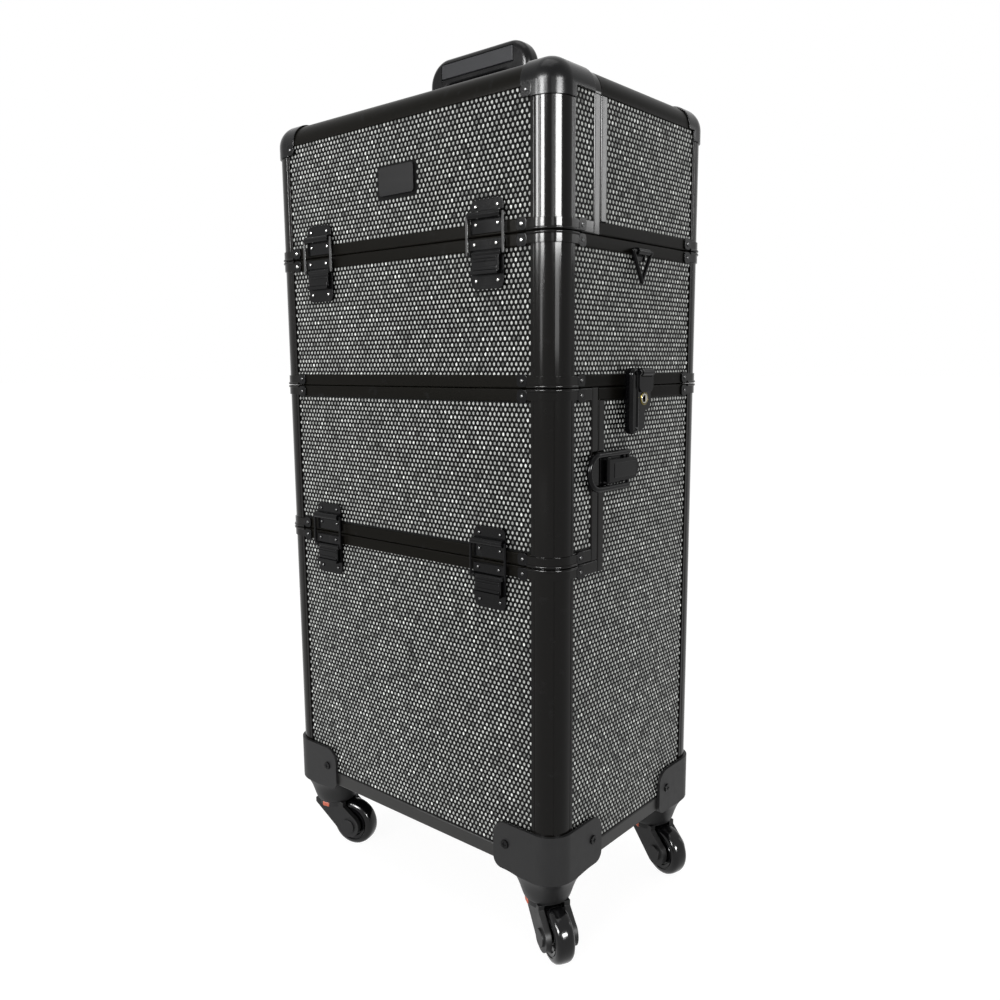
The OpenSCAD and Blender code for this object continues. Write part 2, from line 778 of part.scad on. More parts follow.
// Hinges at the back of the lid: the tub's outer knuckles hold the pin, the lid's turns on it
hinge_x = 95;
hinge_w = 54;
knuckle_r = 2.4;
hinge_pin_r = 1.2;
hinge_out = knuckle_r + 0.5;
leaf_t = 1;
leaf_h = 9;
leaf_up = 0.4;
web_t = 1.4;
knuckle_gap = 0.3;
module hinge_leaf(x0, x1, up) {
    rotate([0, 90, 0]) translate([0, 0, x0]) cylinder(r = knuckle_r, h = x1 - x0);
    mirror([0, 0, up > 0 ? 0 : 1]) {
        translate([x0, hinge_out - leaf_t - lay_gap, leaf_up]) cube([x1 - x0, leaf_t, leaf_h]);
        translate([x0, knuckle_r * 0.6, leaf_up])
            cube([x1 - x0, hinge_out - knuckle_r * 0.6 - lay_gap, web_t]);
    }
}
module tub_knuckles() {
    for (end = [-1, 1]) mirror([end < 0 ? 1 : 0, 0, 0])
        hinge_leaf(hinge_w / 6 + knuckle_gap, hinge_w / 2, -1);
    translate([-hinge_w / 2, 0, 0]) rotate([0, 90, 0]) cylinder(r = hinge_pin_r, h = hinge_w);
}
module lid_knuckle() {
    difference() {
        hinge_leaf(-hinge_w / 6, hinge_w / 6, 1);
        translate([-hinge_w, 0, 0]) rotate([0, 90, 0])
            cylinder(r = hinge_pin_r + pin_gap, h = 2 * hinge_w);
    }
}
module at_back_hinges() {
    on_back() for (x = [-hinge_x, hinge_x]) translate([x, -hinge_out, lid_z]) children();
}
module back_hinges() { color(METAL) at_back_hinges() tub_knuckles(); }

// Hinge across the lid's top at the split: long knuckles in turn along it
top_hinge_half = 130;
top_knuckles = 5;
top_step = 2 * top_hinge_half / top_knuckles;
top_hinge_z = top_z + knuckle_r + 0.3;
function knuckle_x(k) = -top_hinge_half + k * top_step;
module at_top_hinge() { translate([0, mid_y + split_y, top_hinge_z]) children(); }
module top_leaf(k, dir) {
    len = top_step - knuckle_gap;
    drop = top_hinge_z - top_z;
    translate([knuckle_x(k), 0, 0]) {
        rotate([0, 90, 0]) cylinder(r = knuckle_r, h = len);
        mirror([0, dir > 0 ? 0 : 1, 0]) {
            translate([0, half_gap + run_gap, lay_gap - drop])
                cube([len, edge_bar_w - 2, leaf_t]);
            translate([0, half_gap + run_gap, lay_gap - drop])
                cube([len, web_t, drop - knuckle_r * 0.6]);
        }
    }
}

// Lid and flap
lid_bottom = lid_z + half_gap;
lid_board_z = lid_bottom + seam_rail_h;
lid_board_top = top_z - top_leg;
module top_board(y0, y1) {
    translate([-top_end, mid_y + y0, top_z - board_inset - board_t])
        cube([2 * top_end, y1 - y0, board_t]);
}
module top_bar(y0) {
    half = top_end - lay_gap;
    translate([-half, mid_y + y0, top_z - frame_t]) cube([2 * half, edge_bar_w, frame_t]);
}
module lid_panels() {
    color(BOARD) {
        on_back() board(-face_end, face_end, lid_board_z, lid_board_top);
        on_sides() board(bar_back, side_end, lid_board_z, lid_board_top);
        top_board(bar_back, case_d / 2 - top_leg);
    }
}
module lid_frame() {
    color(BLACK) {
        posts(BACK, lid_bottom, lid_board_top);
        on_back() {
            rail(-face_end, face_end, lid_bottom, seam_rail_h);
            top_rail(-face_end, face_end);
        }
        on_sides() {
            rail(bar_back - edge_bar_w, side_end, lid_bottom, seam_rail_h);
            bar(bar_back - edge_bar_w, lid_board_z, lid_board_top);
            top_rail(bar_back - edge_bar_w, side_end);
        }
        top_bar(bar_back - edge_bar_w);
        bands_above(BACK, lid_z);
        at_back_hinges() lid_knuckle();
        at_top_hinge() {
            for (k = [0:2:top_knuckles - 1]) top_leaf(k, 1);
            translate([-top_hinge_half, 0, 0]) rotate([0, 90, 0])
                cylinder(r = hinge_pin_r, h = 2 * top_hinge_half - knuckle_gap);
        }
    }
}
module flap_panels() {
    color(BOARD) {
        on_front() board(-face_end, face_end, lid_board_z, lid_board_top);
        on_sides() board(-side_end, bar_front, lid_board_z, lid_board_top);
        top_board(top_leg - case_d / 2, bar_front);
    }
}
module flap_frame() {
    color(BLACK) {
        posts(FRONT, lid_bottom, lid_board_top);
        on_front() {
            rail(-face_end, face_end, lid_bottom, seam_rail_h);
            top_rail(-face_end, face_end);
        }
        on_sides() {
            rail(-side_end, bar_front, lid_bottom, seam_rail_h);
            bar(bar_front, lid_bottom, lid_board_top);
            top_rail(-side_end, bar_front + edge_bar_w);
        }
        top_bar(bar_front);
        bands_above(FRONT, lid_z);
        difference() {
            at_top_hinge() for (k = [1:2:top_knuckles - 1]) top_leaf(k, -1);
            at_top_hinge() translate([-top_hinge_half, 0, 0]) rotate([0, 90, 0])
                cylinder(r = hinge_pin_r + pin_gap, h = 2 * top_hinge_half);
        }
    }
}
module flap_strikes() {
    color(BLACK) for (side = [-1, 1]) front_latch(side, lid_z) strike_plate();
}

// Ball corner: the solid inside three rounded edges that meet, its faces grown outwards by g and its
// legs cut at three lengths
module ball_corner(g, leg_x, leg_y, leg_z) {
    r = corner_r;
    translate([r, r, -r]) sphere(r + g);
    translate([r, r, -r]) rotate([0, 90, 0]) cylinder(r = r + g, h = leg_x - r);
    translate([r, r, -r]) rotate([-90, 0, 0]) cylinder(r = r + g, h = leg_y - r);
    translate([r, r, -leg_z]) cylinder(r = r + g, h = leg_z - r);
    translate([r, r, -leg_z]) cube([leg_x - r, leg_y - r, leg_z + g]);
    translate([r, -g, -leg_z]) cube([leg_x - r, r + g + 0.01, leg_z - r]);
    translate([-g, r, -leg_z]) cube([r + g + 0.01, leg_y - r, leg_z - r]);
}
// A cap outside the posts and rails, which fills the corner where they leave it open. Its legs are as
// wide as the post and the rails
module corner_cap(leg_y) {
    far = 100;
    difference() {
        ball_corner(cap_t, cap_leg, leg_y, cap_leg);
        ball_corner(-frame_t, far, far, far);
        difference() {
            ball_corner(lay_gap, far, far, far);
            difference() {
                translate([-1, -1, -top_leg]) cube([post_leg + 1, post_leg + 1, top_leg + 1]);
                translate([top_leg - lay_gap, top_leg - lay_gap, -frame_t]) cube(top_leg);
            }
        }
        translate([post_leg, -2 * cap_t, -far]) cube([far, 2 * cap_t, far - top_leg]);
        translate([-2 * cap_t, post_leg, -far]) cube([2 * cap_t, far, far - top_leg]);
        translate([top_leg, top_leg, 0]) cube([far, far, 2 * cap_t]);
    }
}
module lid_corner_caps() {
    color(PLASTIC) at_corners(BACK) translate([0, 0, top_z]) corner_cap(cap_leg);
}
module flap_corner_caps() {
    color(PLASTIC) at_corners(FRONT) translate([0, 0, top_z]) corner_cap(flap_d - edge_bar_w - seam_gap);
}

// Carry handle
handle_z = top_z - board_inset;
handle_round = 24;
foot_reach = 12;
foot_half = handle_half + foot_reach;
foot_t = 4;
handle_leg = 22;
hand_half = handle_half - handle_leg;
pad_half = 46;
pad_h = 17;
pad_t = 2;
pad_proud = 0.5;
module handle_outline() {
    top = handle_h + board_inset;
    difference() {
        union() {
            translate([-handle_half, 0]) square([2 * handle_half, top - handle_round]);
            translate([handle_round - handle_half, 0])
                square([2 * (handle_half - handle_round), top]);
            for (x = [-1, 1]) translate([x * (handle_half - handle_round), top - handle_round])
                circle(handle_round);
            translate([-foot_half, 0]) square([2 * foot_half, foot_t]);
        }
        translate([-hand_half, foot_t]) square([2 * hand_half, top - grip_h - foot_t]);
    }
}
module pad_block(grow) {
    translate([0, mid_y - handle_t / 2 - pad_proud, top_z + handle_h - grip_h / 2])
        translate([-pad_half - grow, 0, -pad_h / 2 - grow])
            cube([2 * (pad_half + grow), pad_t, pad_h + 2 * grow]);
}
module carry_handle() {
    color(BLACK) difference() {
        translate([0, mid_y + handle_t / 2, handle_z]) rotate([90, 0, 0])
            linear_extrude(handle_t) handle_outline();
        pad_block(lay_gap);
    }
}
module handle_pad() { color(PAD) pad_block(0); }

// Name plate, left bare, in the middle of the flap
plate_w = 45;
plate_h = 25;
name_t = 1.6;
name_up = 59.5;
module name_plate() {
    color(PLASTIC) on_front() translate([0, board_inset, lid_z + name_up]) rotate([90, 0, 0])
        linear_extrude(name_t) for (x = [0, 1]) mirror([0, x]) translate([0, -0.01])
            rounded_plate(plate_w, plate_h / 2 + 0.01, 2.5);
}

// Pull handle on the back: fixed guides, two telescopic stages, grip and button
guide_wall = 1.5;
tube_wall = 1.2;
slide_gap = 0.4;
mid_w = guide_w - 2 * (guide_wall + slide_gap);
mid_d = guide_d - 2 * (guide_wall + slide_gap);
inner_w = mid_w - 2 * (tube_wall + slide_gap);
inner_d = mid_d - 2 * (tube_wall + slide_gap);
bracket_h = 16;
guide_z = base_wall_z + 2;
guide_top = base_board_top - 2;
bracket_wall = 3;
collar_up = 7;
grip_leg = 24;
grip_z = guide_top + 2 * collar_up;
grip_h_all = 44;
grip_round = 12;
grip_top = grip_z + grip_h_all;
grip_bar_h = 22;
button_half = 12;
button_d = 10;
button_up = 3.5;
button_deep = 5;
button_travel = 3;
module tube(x, w, d, wall, z0, z1) {
    translate([x, back_y + tube_out, z0]) linear_extrude(z1 - z0) difference() {
        square([w, d], center = true);
        square([w - 2 * wall, d - 2 * wall], center = true);
    }
}
module trolley_guides() {
    color(METAL) for (x = [-tube_x, tube_x]) tube(x, guide_w, guide_d, guide_wall, guide_z, guide_top);
}
module trolley_brackets() {
    w = guide_w + 2 * bracket_wall;
    near = back_y - board_inset;
    color(PLASTIC) for (x = [-tube_x, tube_x], z = [guide_z, guide_top - bracket_h])
        difference() {
            translate([x - w / 2, near, z])
                cube([w, tube_out + guide_d / 2 + 1.6 + board_inset, bracket_h]);
            translate([x - guide_w / 2, back_y + tube_out - guide_d / 2, z - 1])
                cube([guide_w, guide_d, bracket_h + 2]);
        }
}
module trolley_mid_tubes() {
    color(METAL) for (x = [-tube_x, tube_x]) {
        tube(x, mid_w, mid_d, tube_wall, guide_z + 6, guide_top + collar_up);
        tube(x, guide_w, guide_d, (guide_w - mid_w) / 2 + 0.1, guide_top + run_gap, guide_top + collar_up);
    }
}
module trolley_inner_tubes() {
    color(METAL) for (x = [-tube_x, tube_x]) translate([x, back_y + tube_out, guide_z + 10])
        linear_extrude(grip_z - guide_z - 10) square([inner_w, inner_d], center = true);
}
module trolley_grip() {
    color(PLASTIC) difference() {
        translate([0, back_y + tube_out + grip_t / 2, 0]) rotate([90, 0, 0]) linear_extrude(grip_t) {
            translate([0, grip_z]) for (x = [-tube_x, tube_x])
                translate([x - grip_leg / 2, 0]) square([grip_leg, grip_h_all - grip_round]);
            translate([0, grip_top - grip_bar_h])
                rounded_plate(2 * tube_x + grip_leg, grip_bar_h, grip_round);
        }
        translate([-button_half - run_gap, back_y + tube_out - button_d / 2 - run_gap,
            grip_top - button_deep - button_travel])
            cube([2 * (button_half + run_gap), button_d + 2 * run_gap, 20]);
    }
}
module trolley_button() {
    color(METAL) translate([-button_half, back_y + tube_out - button_d / 2, grip_top - button_deep])
        cube([2 * button_half, button_d, button_deep + button_up]);
}

base_floor();
base_panels();
base_posts();
base_rails();
base_bands();
corner_housings();
housing_screws();
lower_latch_plates();
side_latch_plates();
key_locks();
trolley_guides();
trolley_brackets();
fork(0);  // fork_front_right
fork(1);  // fork_front_left
fork(2);  // fork_rear_right
fork(3);  // fork_rear_left
wheel(0);  // wheel_front_right
wheel(1);  // wheel_front_left
wheel(2);  // wheel_rear_right
wheel(3);  // wheel_rear_left
trolley_mid_tubes();
trolley_inner_tubes();
trolley_grip();
trolley_button();
key_cylinder(1);  // key_cylinder_right
key_cylinder(-1);  // key_cylinder_left
side_lever(1);  // side_lever_right
side_lever(-1);  // side_lever_left
side_loop(1);  // side_loop_right
side_loop(-1);  // side_loop_left
front_latch(1, cover_z) front_lever();  // lower_lever_right
front_latch(-1, cover_z) front_lever();  // lower_lever_left
cover_panels();
cover_frame();
cover_strikes();
front_latch(1, cover_z) bail();  // lower_bail_right
front_latch(-1, cover_z) bail();  // lower_bail_left
tub_panels();
tub_floor();
tub_frame();
tub_hardware();
back_hinges();
front_latch(1, lid_z) front_lever();  // upper_lever_right
front_latch(-1, lid_z) front_lever();  // upper_lever_left
strap_ring(1);  // strap_ring_right
strap_ring(-1);  // strap_ring_left
hasp(1);  // hasp_right
hasp(-1);  // hasp_left
lid_panels();
lid_frame();
lid_corner_caps();
carry_handle();
handle_pad();
flap_panels();
flap_frame();
flap_corner_caps();
flap_strikes();
front_latch(1, lid_z) bail();  // upper_bail_right
front_latch(-1, lid_z) bail();  // upper_bail_left
name_plate();
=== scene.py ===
"""Looks of the rolling makeup case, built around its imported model. Lengths are in millimetres here."""

import json
import logging
import math
import random
from contextlib import contextmanager
from dataclasses import dataclass, field
from enum import Enum
from typing import Callable, Iterable, Iterator, Sequence

import bmesh
import bpy
import numpy as np
from mathutils import Matrix, Vector

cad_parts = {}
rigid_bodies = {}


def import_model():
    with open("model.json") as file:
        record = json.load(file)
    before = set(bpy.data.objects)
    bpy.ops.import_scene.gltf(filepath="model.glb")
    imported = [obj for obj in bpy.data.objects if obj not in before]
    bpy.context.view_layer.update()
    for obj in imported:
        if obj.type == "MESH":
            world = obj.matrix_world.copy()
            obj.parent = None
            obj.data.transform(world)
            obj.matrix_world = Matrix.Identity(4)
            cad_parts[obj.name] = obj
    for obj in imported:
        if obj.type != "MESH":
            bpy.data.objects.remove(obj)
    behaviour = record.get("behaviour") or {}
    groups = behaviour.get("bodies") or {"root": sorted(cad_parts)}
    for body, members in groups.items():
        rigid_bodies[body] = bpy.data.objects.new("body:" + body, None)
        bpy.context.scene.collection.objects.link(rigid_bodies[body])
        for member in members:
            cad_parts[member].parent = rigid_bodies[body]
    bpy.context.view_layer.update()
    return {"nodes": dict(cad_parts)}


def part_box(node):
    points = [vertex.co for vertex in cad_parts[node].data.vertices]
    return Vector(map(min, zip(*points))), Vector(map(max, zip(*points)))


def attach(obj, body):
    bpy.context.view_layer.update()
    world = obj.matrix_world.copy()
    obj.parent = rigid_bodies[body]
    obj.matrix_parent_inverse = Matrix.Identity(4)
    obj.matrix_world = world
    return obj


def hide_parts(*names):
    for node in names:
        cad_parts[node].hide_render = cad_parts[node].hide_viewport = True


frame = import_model()

logging.basicConfig(level=logging.INFO, format="%(message)s")
LOG = logging.getLogger("makeup_case")

MM = 0.001
Point = tuple[float, float, float]
Colour = tuple[float, float, float]
Mesh = bpy.types.Object
Tree = bpy.types.NodeTree
Socket = bpy.types.NodeSocket

# Places shared by all parts
HALF_W = 180.0
MID_Y = -7.8
FRONT_Y = -127.8
BACK_Y = 112.2
BASE_Z = 84.0
COVER_Z = 363.5
TUB_Z = 513.5
LID_Z = 638.5
TOP_Z = 771.0
SPLIT_Y = -66.8
BOARD_IN = 1.2
POST = 25.6
SEAM_RAIL = 11.2
EDGE_BAR = 9.6
TOP_LEG = 22.0
LATCH_X = 109.5
RIVET_R = 1.6
SHADED_RIVET_HEAD = 0.9
SIDES = (("right", 1), ("left", -1))


class Slot(Enum):
    """Material slots of the record."""

    PANEL = "panel"
    FRAME = "frame"
    BLACK_METAL = "black_metal"
    WIRE = "wire"
    MOULDING = "moulding"
    LINING = "lining"
    WHEEL = "wheel"
    STEEL = "steel"
    BRASS = "brass"
    GRIP_PAD = "grip_pad"


# Nodes


def plug(tree: Tree, node: bpy.types.Node, inputs: dict) -> None:
    """Sets plain values on a node's input sockets, and links those that another socket feeds."""
    for name, value in inputs.items():
        if isinstance(value, Socket):
            tree.links.new(value, node.inputs[name])
        else:
            node.inputs[name].default_value = value


def add_node(tree: Tree, kind: str, inputs: dict | None = None, **settings: str) -> bpy.types.Node:
    """Adds a node.

    Args:
        tree: The node tree.
        kind: The node's type, without its prefix.
        inputs: What each input socket gets: a plain value, or the socket that feeds it.
        settings: The node's own settings.

    Returns:
        The node.
    """
    made = tree.nodes.new("ShaderNode" + kind)
    for name, value in settings.items():
        setattr(made, name, value)
    plug(tree, made, inputs or {})
    return made


def object_place(tree: Tree) -> Socket:
    """The place on the object, in its own axes."""
    return add_node(tree, "TexCoord").outputs["Object"]


def speckle(tree: Tree, place: Socket, scale: float, detail: float = 2.0) -> Socket:
    """A noise texture at a place."""
    return add_node(tree, "TexNoise", {"Vector": place, "Scale": scale, "Detail": detail}).outputs["Fac"]


def spanned(tree: Tree, value: Socket, low: float, high: float) -> Socket:
    """Spreads a value between 0 and 1 over a span."""
    return add_node(tree, "MapRange", {"Value": value, "To Min": low, "To Max": high}).outputs["Result"]


def raised(tree: Tree, height: Socket, strength: float, depth: float) -> Socket:
    """Turns a value into relief."""
    return add_node(tree, "Bump", {"Height": height, "Strength": strength, "Distance": depth}).outputs["Normal"]


def blended(tree: Tree, low: Colour | Socket, high: Colour, share: Socket) -> Socket:
    """Mixes one colour into another by a value."""
    start = low if isinstance(low, Socket) else (*low, 1.0)
    mix = add_node(tree, "Mix", {"A": start, "B": (*high, 1.0), "Factor": share}, data_type="RGBA")
    return mix.outputs["Result"]


# Finishes


@dataclass(frozen=True)
class Surface:
    """A material that is built once, under its own name."""

    name: str

    def material(self) -> bpy.types.Material:
        """Builds the node material, or returns it if it is there already."""
        found = bpy.data.materials.get(self.name)
        if found:
            return found
        made = bpy.data.materials.new(self.name)
        made.use_nodes = True
        tree = made.node_tree
        plug(tree, tree.nodes["Principled BSDF"], self.sockets(tree))
        return made

    def sockets(self, tree: Tree) -> dict:
        """Adds the nodes behind the shader.

        Args:
            tree: The node tree to add to.

        Returns:
            What each of the shader's sockets gets.
        """
        raise NotImplementedError


@dataclass(frozen=True)
class Finish(Surface):
    """A painted, moulded or metal surface with fine grain in its colour, gloss and relief.

    colour and second are mixed by a noise of size grain; gloss varies by gloss_play round roughness.
    """

    colour: Colour
    second: Colour
    roughness: float
    metallic: float = 0.0
    specular: float = 0.5
    grain: float = 400.0
    haze: float = 0.07
    stretch: Point = (1.0, 1.0, 1.0)
    gloss_play: float = 0.08
    relief: float = 0.1
    relief_depth: float = 0.00005
    wear: float = 0.0
    scuff: float = 90.0
    scuff_ends: tuple[float, float] = (0.62, 0.78)

    def sockets(self, tree: Tree) -> dict:
        """Adds grain, gloss, relief and wear behind the shader."""
        place = object_place(tree)
        mapped = add_node(tree, "Mapping", {"Vector": place, "Scale": self.stretch}).outputs["Vector"]
        grain = speckle(tree, mapped, self.grain, 4.0)
        haze = speckle(tree, mapped, self.grain * self.haze, 3.0)
        low, high = max(0.02, self.roughness - self.gloss_play), min(1.0, self.roughness + self.gloss_play)
        return {
            "Metallic": self.metallic,
            "Specular IOR Level": self.specular,
            "Base Color": self.worn(tree, place, blended(tree, self.colour, self.second, grain)),
            "Roughness": spanned(tree, haze, low, high),
            "Normal": raised(tree, grain, self.relief, self.relief_depth),
        }

    def worn(self, tree: Tree, place: Socket, colour: Socket) -> Socket:
        """Lightens the colour in sparse fine scuffs."""
        if self.wear <= 0:
            return colour
        ramp = add_node(tree, "ValToRGB", {"Fac": speckle(tree, place, self.scuff, 8.0)})
        for stop, position in zip(ramp.color_ramp.elements, self.scuff_ends):
            stop.position = position
        return blended(tree, colour, (self.wear,) * 3, ramp.outputs["Color"])


@dataclass(frozen=True)
class GlintFinish(Surface):
    """The bright studs of the covering: each has its own random tone, and a few carry a painted glint at full
    brightness, kept in the glint attribute.
    """

    name: str = "stud_silver"
    dull: Colour = (0.1, 0.104, 0.1)
    bright: Colour = (0.9, 0.92, 0.89)
    roughness: float = 0.3
    gloss_play: float = 0.12
    grain: float = 1400.0
    metallic: float = 0.4

    def sockets(self, tree: Tree) -> dict:
        """Adds each stud's own brightness and a fine play of gloss."""
        glint = add_node(tree, "Attribute", attribute_name="glint").outputs["Fac"]
        grain = speckle(tree, object_place(tree), self.grain)
        return {
            "Metallic": self.metallic,
            "Base Color": blended(tree, self.dull, self.bright, glint),
            "Roughness": spanned(tree, grain, self.roughness - self.gloss_play, self.roughness + self.gloss_play),
        }


@dataclass(frozen=True)
class WovenFinish(Surface):
    """Cloth lining: two crossed bands of thread over a dark ground."""

    colour: Colour
    thread: Colour
    count: float = 900.0
    distortion: float = 0.6
    roughness: float = 0.9
    sheen: float = 0.2
    relief: float = 0.4
    relief_depth: float = 0.0002

    def sockets(self, tree: Tree) -> dict:
        """Crosses two bands of thread, for colour and relief."""
        wave = {"Vector": object_place(tree), "Scale": self.count, "Distortion": self.distortion}
        bands = [add_node(tree, "TexWave", wave, bands_direction=axis).outputs["Fac"] for axis in "XZ"]
        weave = add_node(tree, "Math", dict(enumerate(bands)), operation="MAXIMUM").outputs["Value"]
        return {
            "Roughness": self.roughness,
            "Sheen Weight": self.sheen,
            "Base Color": blended(tree, self.colour, self.thread, weave),
            "Normal": raised(tree, weave, self.relief, self.relief_depth),
        }


BOARD = Finish("glitter_ground", (0.003,) * 3, (0.006,) * 3, 0.45, specular=0.1, grain=900, relief=0.3)
STUDS = GlintFinish()
ANODISED = Finish(
    "anodised_black", (0.0026, 0.0023, 0.0019), (0.0044, 0.0038, 0.0032), 0.11, specular=0.14, grain=60,
    stretch=(30, 30, 1), gloss_play=0.05, relief=0.03, wear=0.008,
)
RAILS = Finish(
    "anodised_rail", (0.0042, 0.0038, 0.0028), (0.0066, 0.006, 0.0046), 0.32, specular=0.035, grain=60,
    stretch=(1, 1, 30), gloss_play=0.05, relief=0.03, wear=0.012,
)
SILL = Finish(
    "anodised_sill", (0.014, 0.0138, 0.0132), (0.021, 0.0206, 0.0198), 0.36, specular=0.26, grain=60,
    stretch=(1, 1, 30), gloss_play=0.05, relief=0.03,
)
ENAMEL = Finish(
    "black_enamel", (0.0024, 0.0024, 0.0027), (0.0044, 0.0044, 0.0048), 0.2, specular=0.12, grain=700,
    relief=0.05, wear=0.012,
)
WIRE = Finish("blackened_wire", (0.1,) * 3, (0.16,) * 3, 0.26, metallic=1.0, grain=60, relief=0.01)
MOULDED = Finish(
    "moulded_black", (0.0085, 0.0085, 0.0088), (0.013, 0.013, 0.0134), 0.46, specular=0.2, grain=1500,
    relief=0.35, relief_depth=0.0001,
)
CAP = Finish(
    "cap_black", (0.003, 0.003, 0.0034), (0.0052, 0.0052, 0.0058), 0.22, specular=0.14, grain=1200, relief=0.12
)
HANDLE = Finish("handle_black", (0.0028, 0.0028, 0.0031), (0.0048, 0.0048, 0.0052), 0.2, specular=0.14, grain=1100)
TYRE = Finish(
    "wheel_black", (0.0026, 0.0026, 0.003), (0.0044, 0.0044, 0.005), 0.14, specular=0.25, grain=300, relief=0.05
)
SILVER = Finish("rivet_silver", (0.4, 0.4, 0.39), (0.55, 0.55, 0.54), 0.24, metallic=1.0, grain=900, relief=0.05)
GUNMETAL = Finish(
    "gunmetal_tube", (0.1, 0.1, 0.105), (0.16, 0.16, 0.165), 0.3, metallic=1.0, grain=80, stretch=(20, 20, 1),
    relief=0.04,
)
# Rivet steel darkened to near black: painted shade, for rivets that are drawn as if lying in shade.
SHADED_RIVET_STEEL = Finish("rivet_dull", (0.05,) * 3, (0.09,) * 3, 0.3, metallic=1.0, grain=900, relief=0.05)
GLOSS = Finish(
    "black_gloss", (0.0022, 0.0022, 0.0026), (0.004, 0.004, 0.0045), 0.12, specular=0.1, grain=500, relief=0.03
)
NICKEL = Finish("key_nickel", (0.26, 0.255, 0.23), (0.38, 0.37, 0.34), 0.22, metallic=1.0, grain=500, relief=0.05)
OLD_BRASS = Finish("old_brass", (0.09, 0.072, 0.02), (0.14, 0.115, 0.035), 0.35, metallic=1.0, grain=500, relief=0.05)
PAD = Finish(
    "grip_grey", (0.013, 0.0138, 0.016), (0.022, 0.0228, 0.026), 0.5, specular=0.12, grain=1300, relief=0.5,
    relief_depth=0.00015,
)
NAME = Finish(
    "bare_plate", (0.004, 0.004, 0.0043), (0.006, 0.006, 0.0064), 0.36, specular=0.12, grain=200,
    stretch=(1, 1, 14), relief=0.05,
)
RED = Finish("red_insert", (0.42, 0.06, 0.025), (0.6, 0.14, 0.07), 0.45, grain=500, relief=0.05)
CLOTH = WovenFinish("black_lining", (0.01, 0.01, 0.011), (0.035, 0.035, 0.037))


# The bench: how pieces are made


def vec(x: float, y: float, z: float) -> Vector:
    """A point given in millimetres."""
    return Vector((x, y, z)) * MM


def only(piece: Mesh) -> None:
    """Selects one object and makes it active."""
    bpy.ops.object.select_all(action="DESELECT")
    piece.select_set(True)
    bpy.context.view_layer.objects.active = piece


@contextmanager
def editing(piece: Mesh, mode: str = "VERT", action: str = "DESELECT") -> Iterator[bmesh.types.BMesh]:
    """Opens a piece in edit mode with nothing or everything selected, and closes it afterwards."""
    only(piece)
    bpy.ops.object.mode_set(mode="EDIT")
    bpy.ops.mesh.select_mode(type=mode)
    bpy.ops.mesh.select_all(action=action)
    yield bmesh.from_edit_mesh(piece.data)
    bpy.ops.object.mode_set(mode="OBJECT")


def pick(piece: Mesh, parts: Iterable, test: Callable[..., bool]) -> None:
    """Selects the vertices, edges or faces that pass a test."""
    for part in parts:
        if test(part):
            part.select_set(True)
    bmesh.update_edit_mesh(piece.data)


def apply_place(piece: Mesh) -> Mesh:
    """Puts the object's place into its mesh."""
    only(piece)
    bpy.ops.object.transform_apply(location=True, rotation=True, scale=True)
    return piece


def moved(piece: Mesh, matrix: Matrix) -> Mesh:
    """Moves a piece by a matrix, into its mesh."""
    piece.matrix_world = matrix @ piece.matrix_world
    return apply_place(piece)


def slab(name: str, low: Point, high: Point) -> Mesh:
    """A block between two corners, as a start for a piece."""
    size = [h - l for l, h in zip(low, high)]
    centre = [(h + l) / 2 for l, h in zip(low, high)]
    bpy.ops.object.select_all(action="DESELECT")
    bpy.ops.mesh.primitive_cube_add(size=1, location=vec(*centre), scale=Vector(size) * MM)
    piece = bpy.context.object
    piece.name = name
    return apply_place(piece)


def linked(name: str, data: bpy.types.ID) -> bpy.types.Object:
    """Puts a new object into the scene."""
    made = bpy.data.objects.new(name, data)
    bpy.context.scene.collection.objects.link(made)
    return made


def facing(place: Point, out: Point) -> Matrix:
    """The place of a small piece whose own Z axis points out of a face."""
    return Matrix.Translation(vec(*place)) @ Vector(out).to_track_quat("Z", "Y").to_matrix().to_4x4()


def box(node: str) -> tuple[Vector, Vector]:
    """A CAD node's lowest and highest corners, in millimetres."""
    low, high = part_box(node)
    return low / MM, high / MM


def spun(name: str, profile: Sequence[tuple[float, float]], steps: int = 48) -> Mesh:
    """A turned piece round the Z axis.

    Args:
        name: The piece's name.
        profile: Radius and height of each point of its outline, from the axis outwards and round.
        steps: How many sides it has.

    Returns:
        The piece, closed.
    """
    bpy.ops.object.select_all(action="DESELECT")
    bpy.ops.mesh.primitive_plane_add(size=0.001, location=(0, 0, 0))
    piece = bpy.context.object
    piece.name = name
    with editing(piece, action="SELECT"):
        bpy.ops.mesh.merge(type="CENTER")
        radius, height = profile[0]
        bpy.ops.transform.translate(value=vec(radius, 0, height))
        for (r0, z0), (r1, z1) in zip(profile, profile[1:]):
            bpy.ops.mesh.extrude_region_move(TRANSFORM_OT_translate={"value": vec(r1 - r0, 0, z1 - z0)})
        bpy.ops.mesh.select_all(action="SELECT")
        bpy.ops.mesh.spin(steps=steps, angle=math.tau, center=(0, 0, 0), axis=(0, 0, 1))
    return mended(piece)


def mended(piece: Mesh) -> Mesh:
    """Merges doubled points and turns the faces outwards."""
    with editing(piece, action="SELECT"):
        bpy.ops.mesh.remove_doubles(threshold=0.00001)
        bpy.ops.mesh.normals_make_consistent(inside=False)
    return piece


def clipped(piece: Mesh, level: float) -> Mesh:
    """Cuts off what lies below a level, and closes the cut."""
    with editing(piece, action="SELECT"):
        bpy.ops.mesh.bisect(plane_co=vec(0, 0, level), plane_no=(0, 0, 1), clear_inner=True, use_fill=True)
    return piece


